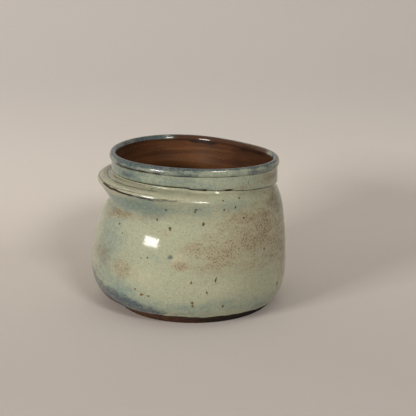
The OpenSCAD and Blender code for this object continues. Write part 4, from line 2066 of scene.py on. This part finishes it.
@dataclass(frozen=True)
class CeladonFinish:
    """The pale glaze outside, breaking brown where it is thin and blue where it pools."""

    name: str
    base: Colour = paint(161, 164, 140)
    pale: Colour = paint(182, 179, 152)
    pool: Colour = paint(110, 134, 130)
    warm: Colour = paint(174, 153, 120)
    grit: Colour = paint(106, 84, 60)
    dip: Colour = paint(124, 126, 106)
    brown: Colour = paint(78, 66, 34)
    blue: Colour = paint(68, 76, 86)
    # Also the colour of the painted shade under the roll, on the rim
    thin: Colour = paint(46, 28, 22)
    fleck: Colour = paint(62, 42, 26)
    roughness: float = 0.105
    thin_roughness: float = 0.26
    gloss: float = 0.27
    fleck_share: float = 0.14

    def material(self) -> Material:
        """Builds the glaze's material.

        Returns:
            The material.
        """
        material, bench, shader, place = blank_material(self.name)
        mottle = MOTTLE.place(bench, {"Vector": place, "Fineness": 760.0})
        values: dict[str, Plug] = {tone: mottle.outputs[tone] for tone in MOTTLE_TONES}
        values |= {mask.value.capitalize(): bench.attribute(mask) for mask in Mask}
        values |= {f"{name} colour": getattr(self, name.lower()) for name in GLAZE_COLOURS}
        glaze = CELADON.place(bench, values)
        flecks = FLECKS.place(
            bench, {"Vector": place, "Scale": 170.0, "Share": self.fleck_share, "Size": 0.11}
        )
        colour = bench.coat(glaze.outputs["Colour"], flecks.outputs["Halo"], 0.35, self.warm)
        colour = bench.coat(colour, flecks.outputs["Mask"], 0.85, self.fleck)
        bench.plug(shader.inputs["Base Color"], colour)
        rough = bench.between(mottle.outputs["Cloud"], self.roughness * 0.8, self.roughness * 1.25)
        rough = bench.between(glaze.outputs["Thinness"], rough, self.thin_roughness)
        bench.plug(shader.inputs["Roughness"], rough)
        shader.inputs["IOR"].default_value = 1.5
        shader.inputs["Specular IOR Level"].default_value = self.gloss
        streaks = bench.times(mottle.outputs["Streak"], 0.5)
        height = bench.plus(bench.times(glaze.outputs["Grit"], -0.4), streaks)
        bump(bench, shader, height, 0.12, 0.0004)
        return material


@dataclass(frozen=True)
class LinerFinish:
    """The satin brown glaze inside, with rings that catch the light."""

    name: str = "satin_brown_liner"
    deep: Colour = paint(62, 35, 19)
    brown: Colour = paint(98, 60, 34)
    # Also the colour of the painted light low on the back wall
    light: Colour = paint(124, 84, 50)
    # The gathered dark glaze, and the painted shade on the inner sides
    pooled_and_shaded: Colour = paint(34, 26, 22)
    roughness: float = 0.52
    pooled_roughness: float = 0.3
    gloss: float = 0.14

    def material(self) -> Material:
        """Builds the liner's material.

        Returns:
            The material.
        """
        material, bench, shader, place = blank_material(self.name)
        mottle = MOTTLE.place(bench, {"Vector": place, "Fineness": 700.0})
        rings = RINGS.place(bench, {"Vector": place, "Spacing": 0.005})
        tone = bench.between(rings.outputs["Tone"], 0.2, 0.85)
        colour = bench.blend(tone, self.deep, self.brown)
        # The rings' crests, and the painted light low on the back wall, are coloured lighter
        high = bench.times(bench.attribute(Mask.THIN), mottle.outputs["Cloud"])
        colour = bench.coat(colour, high, 0.8, self.light)
        grit = bench.smooth(mottle.outputs["Fine"], 0.55, 0.7)
        colour = bench.coat(colour, grit, 0.4, self.light)
        # Darker where the dark glaze gathered and where the inner sides are painted in shade
        pooled_and_shaded = bench.attribute(Mask.POOL)
        colour = bench.coat(colour, pooled_and_shaded, 0.85, self.pooled_and_shaded)
        bench.plug(shader.inputs["Base Color"], colour)
        rough = bench.between(pooled_and_shaded, self.roughness, self.pooled_roughness)
        bench.plug(shader.inputs["Roughness"], rough)
        shader.inputs["Specular IOR Level"].default_value = self.gloss
        height = bench.plus(rings.outputs["Height"], mottle.outputs["Streak"])
        bump(bench, shader, height, 0.3, 0.0005)
        return material


@dataclass(frozen=True)
class ClayFinish:
    """Bare fired clay, with grit, turning lines and a painted shadow."""

    name: str
    dark: Colour = paint(62, 38, 25)
    light: Colour = paint(104, 68, 45)
    grit: Colour = paint(126, 92, 66)
    # Near black, for the painted shadow on the foot
    painted_shadow: Colour = paint(24, 15, 10)
    roughness: float = 0.78
    gloss: float = 0.2

    def material(self) -> Material:
        """Builds the clay's material.

        Returns:
            The material.
        """
        material, bench, shader, place = blank_material(self.name)
        grain = GRAIN.place(bench, {"Vector": place, "Scale": 900.0})
        rings = RINGS.place(bench, {"Vector": place, "Spacing": 0.0016})
        flecks = FLECKS.place(bench, {"Vector": place, "Scale": 420.0, "Share": 0.16, "Size": 0.22})
        tone = bench.between(0.4, grain.outputs["Tone"], rings.outputs["Tone"])
        colour = bench.blend(tone, self.dark, self.light)
        colour = bench.coat(colour, flecks.outputs["Mask"], 0.6, self.grit)
        # Painted shadow, where the clay's mask says
        colour = bench.coat(colour, bench.attribute(Mask.POOL), 0.9, self.painted_shadow)
        bench.plug(shader.inputs["Base Color"], colour)
        rough = bench.between(tone, self.roughness, self.roughness * 0.85)
        bench.plug(shader.inputs["Roughness"], rough)
        shader.inputs["Specular IOR Level"].default_value = self.gloss
        height = bench.plus(grain.outputs["Height"], rings.outputs["Height"])
        bump(bench, shader, height, 0.5, 0.0004)
        return material


@dataclass(frozen=True)
class SpeckFinish:
    """Melted iron, almost black in the middle of a speck and rusty towards its edge."""

    name: str = "melted_iron"
    dark: Colour = paint(68, 54, 32)
    rust: Colour = paint(124, 100, 58)
    roughness: float = 0.16
    rust_roughness: float = 0.3

    def material(self) -> Material:
        """Builds the speck's material.

        Returns:
            The material.
        """
        material, bench, shader, place = blank_material(self.name)
        grain = GRAIN.place(bench, {"Vector": place, "Scale": 1400.0})
        tone = grain.outputs["Tone"]
        bench.plug(shader.inputs["Base Color"], bench.blend(tone, self.dark, self.rust))
        rough = bench.between(tone, self.roughness, self.rust_roughness)
        bench.plug(shader.inputs["Roughness"], rough)
        bump(bench, shader, grain.outputs["Height"], 0.2, 0.0002)
        return material


@dataclass(frozen=True)
class PaperFinish:
    """The plain pale sweep that the jar stands on, which a view from behind looks through."""

    name: str = "pale_sweep"
    near: Colour = paint(194, 187, 182)
    # Painted light: the floor is coloured lighter from in front of the jar back into the bend,
    # against the shade that falls there
    painted_light_bend: Colour = paint(216, 209, 201)
    far: Colour = paint(189, 184, 181)
    roughness: float = 0.9
    gloss: float = 0.2
    # Where the colours change, in metres: back from the front, and up from the floor
    paling: Pair = (-0.25, 0.16)
    rising: Pair = (0.0, 0.16)

    def material(self) -> Material:
        """Builds the sweep's material.

        Returns:
            The material.
        """
        material, bench, shader, place = blank_material(self.name)
        axes = bench.add("ShaderNodeSeparateXYZ")
        bench.plug(axes.inputs[0], place)
        grain = GRAIN.place(bench, {"Vector": place, "Scale": 12.0})
        back = bench.smooth(axes.outputs["Y"], *self.paling)
        up = bench.smooth(axes.outputs["Z"], *self.rising)
        colour = bench.blend(back, self.near, self.painted_light_bend)
        colour = bench.blend(up, colour, self.far)
        colour = bench.coat(colour, grain.outputs["Tone"], 0.05, self.painted_light_bend)
        bench.plug(shader.inputs["Base Color"], colour)
        shader.inputs["Roughness"].default_value = self.roughness
        shader.inputs["Specular IOR Level"].default_value = self.gloss
        behind = bench.add("ShaderNodeNewGeometry").outputs["Backfacing"]
        seen = bench.add("ShaderNodeLightPath").outputs["Is Camera Ray"]
        shown = bench.math("SUBTRACT", 1.0, bench.times(behind, seen))
        bench.plug(shader.inputs["Alpha"], shown)
        return material


def dress(piece: Object, material: Material) -> None:
    """Gives a piece one material all over."""
    piece.data.materials.clear()
    piece.data.materials.append(material)


# ---------------------------------------------------------------- the studio


@dataclass(frozen=True)
class Softbox:
    """One soft lamp, in metres: where it lies from the point it lights, its size and its glow."""

    lamp: Lamp
    turn: float
    rise: float
    wide: float
    tall: float
    glow: float
    aim_z: float
    distance: float = 2.0
    tint: tuple[float, float, float] = (1.0, 0.97, 0.92)

    def build(self) -> Object:
        """Hangs the lamp and turns it to the jar.

        Returns:
            The lamp.
        """
        aim = Vector((0, 0, self.aim_z))
        turn, rise = math.radians(self.turn), math.radians(self.rise)
        flat = math.cos(rise)
        way = Vector((flat * math.cos(turn), flat * math.sin(turn), math.sin(rise)))
        place = aim + self.distance * way
        light = bpy.data.lights.new(self.lamp.value, "AREA")
        light.shape = "RECTANGLE"
        light.size, light.size_y = self.wide, self.tall
        light.energy = self.glow * math.pi * self.wide * self.tall
        light.color = self.tint
        lamp = bpy.data.objects.new(self.lamp.value, light)
        bpy.context.scene.collection.objects.link(lamp)
        lamp.location = place
        lamp.rotation_euler = (aim - place).to_track_quat("-Z", "Y").to_euler()
        return lamp


@dataclass
class Studio:
    """The sweep, the lamps, the sky and the camera, in metres."""

    camera_place: tuple[float, float, float] = (0.0120, -0.8681, 0.3207)
    camera_dip: float = 15.3
    sensor_mm: float = 36
    image_px: float = 416
    lens_px: float = 1000
    sweep_side: float = 2.4
    sweep_turn_y: float = 0.42
    sweep_h: float = 2.0
    sweep_round: float = 0.30
    sweep_segments: int = 24
    sky: Colour = paint(205, 200, 194)
    sky_strength: float = 0.55
    lamps: tuple[Softbox, ...] = (
        Softbox(Lamp.LEFT, turn=223, rise=17.2, wide=0.58, tall=0.35, glow=37, aim_z=0.075),
        Softbox(Lamp.RIGHT, turn=294, rise=32, wide=0.46, tall=0.32, glow=29, aim_z=0.11),
    )

    def build(self) -> None:
        """Sets up everything round the jar."""
        bpy.context.scene.view_settings.view_transform = "Standard"
        self.build_sweep()
        for softbox in self.lamps:
            softbox.build()
        self.build_sky()
        self.build_camera()

    def build_sweep(self) -> None:
        """A sheet of paper that runs back under the jar and turns up behind it."""
        deselect_all()
        bpy.ops.mesh.primitive_plane_add(size=2 * self.sweep_side, location=(0, 0, 0))
        sweep = bpy.context.object
        sweep.name = sweep.data.name = "paper_sweep"
        bpy.ops.object.mode_set(mode="EDIT")
        select_edges(sweep, lambda edge: all(vertex.co.y > 0 for vertex in edge.verts))
        bpy.ops.transform.translate(value=(0, self.sweep_turn_y - self.sweep_side, 0))
        bpy.ops.mesh.extrude_region_move(TRANSFORM_OT_translate={"value": (0, 0, self.sweep_h)})
        select_edges(
            sweep,
            lambda edge: all(vertex.co.y > 0 and abs(vertex.co.z) < 0.01 for vertex in edge.verts),
        )
        bpy.ops.mesh.bevel(offset=self.sweep_round, segments=self.sweep_segments, affect="EDGES")
        bpy.ops.object.mode_set(mode="OBJECT")
        bpy.ops.object.shade_smooth()
        dress(sweep, PaperFinish().material())

    def build_sky(self) -> None:
        """An even pale light from all round."""
        world = bpy.data.worlds.new("studio_air")
        bpy.context.scene.world = world
        world.use_nodes = True
        air = world.node_tree.nodes["Background"]
        air.inputs["Color"].default_value = self.sky
        air.inputs["Strength"].default_value = self.sky_strength

    def build_camera(self) -> None:
        """The camera, at the photograph's angle."""
        lens = bpy.data.cameras.new("camera")
        lens.sensor_width = self.sensor_mm
        lens.lens = self.sensor_mm * self.lens_px / self.image_px
        camera = bpy.data.objects.new("camera", lens)
        bpy.context.scene.collection.objects.link(camera)
        camera.location = self.camera_place
        camera.rotation_euler = (math.radians(90 - self.camera_dip), 0, 0)
        bpy.context.scene.camera = camera


def main() -> None:
    """Builds and dresses the jar piece by piece, then the studio round it."""
    logging.basicConfig(level=logging.INFO, format="%(name)s: %(message)s")
    form = JarForm()
    celadon = CeladonFinish("celadon_glaze").material()
    rim = CeladonFinish(
        "celadon_rim_glaze",
        base=paint(148, 156, 136),
        pool=paint(98, 116, 110),
        dip=paint(92, 98, 96),
        warm=paint(138, 113, 84),
        brown=paint(74, 47, 30),
        blue=paint(62, 74, 80),
        gloss=0.36,
        fleck_share=0.1,
    ).material()
    clay = ClayFinish("fired_clay").material()
    slip = ClayFinish(
        "joint_slip_clay", dark=paint(34, 22, 16), light=paint(62, 40, 28), grit=paint(84, 58, 40)
    ).material()
    pieces: list[tuple[TurnedPiece | IronSpecks, Material]] = [
        (ClayBody(form, "clay_body", "thrown_body", Slot.CLAY), clay),
        (ClayCollar(form, "clay_collar", "neck_collar", Slot.CLAY), slip),
        (LutingSlip(form, "slip_in_joint", "luting_slip", Slot.SLIP), slip),
        (BodyGlaze(form, "glaze_on_body", "body_glaze", Slot.OUTER), celadon),
        (CollarGlaze(form, "glaze_on_collar", "collar_glaze", Slot.RIM), rim),
        (LinerGlaze(form, "glaze_inside", "liner_glaze", Slot.INNER), LinerFinish().material()),
        (IronSpecks(form), SpeckFinish().material()),
    ]
    for maker, material in pieces:
        piece = maker.build()
        dress(piece, material)
        log.info("%s: %d faces, %s", piece.name, len(piece.data.polygons), material.name)
    Studio().build()


if __name__ == "__main__":
    main()
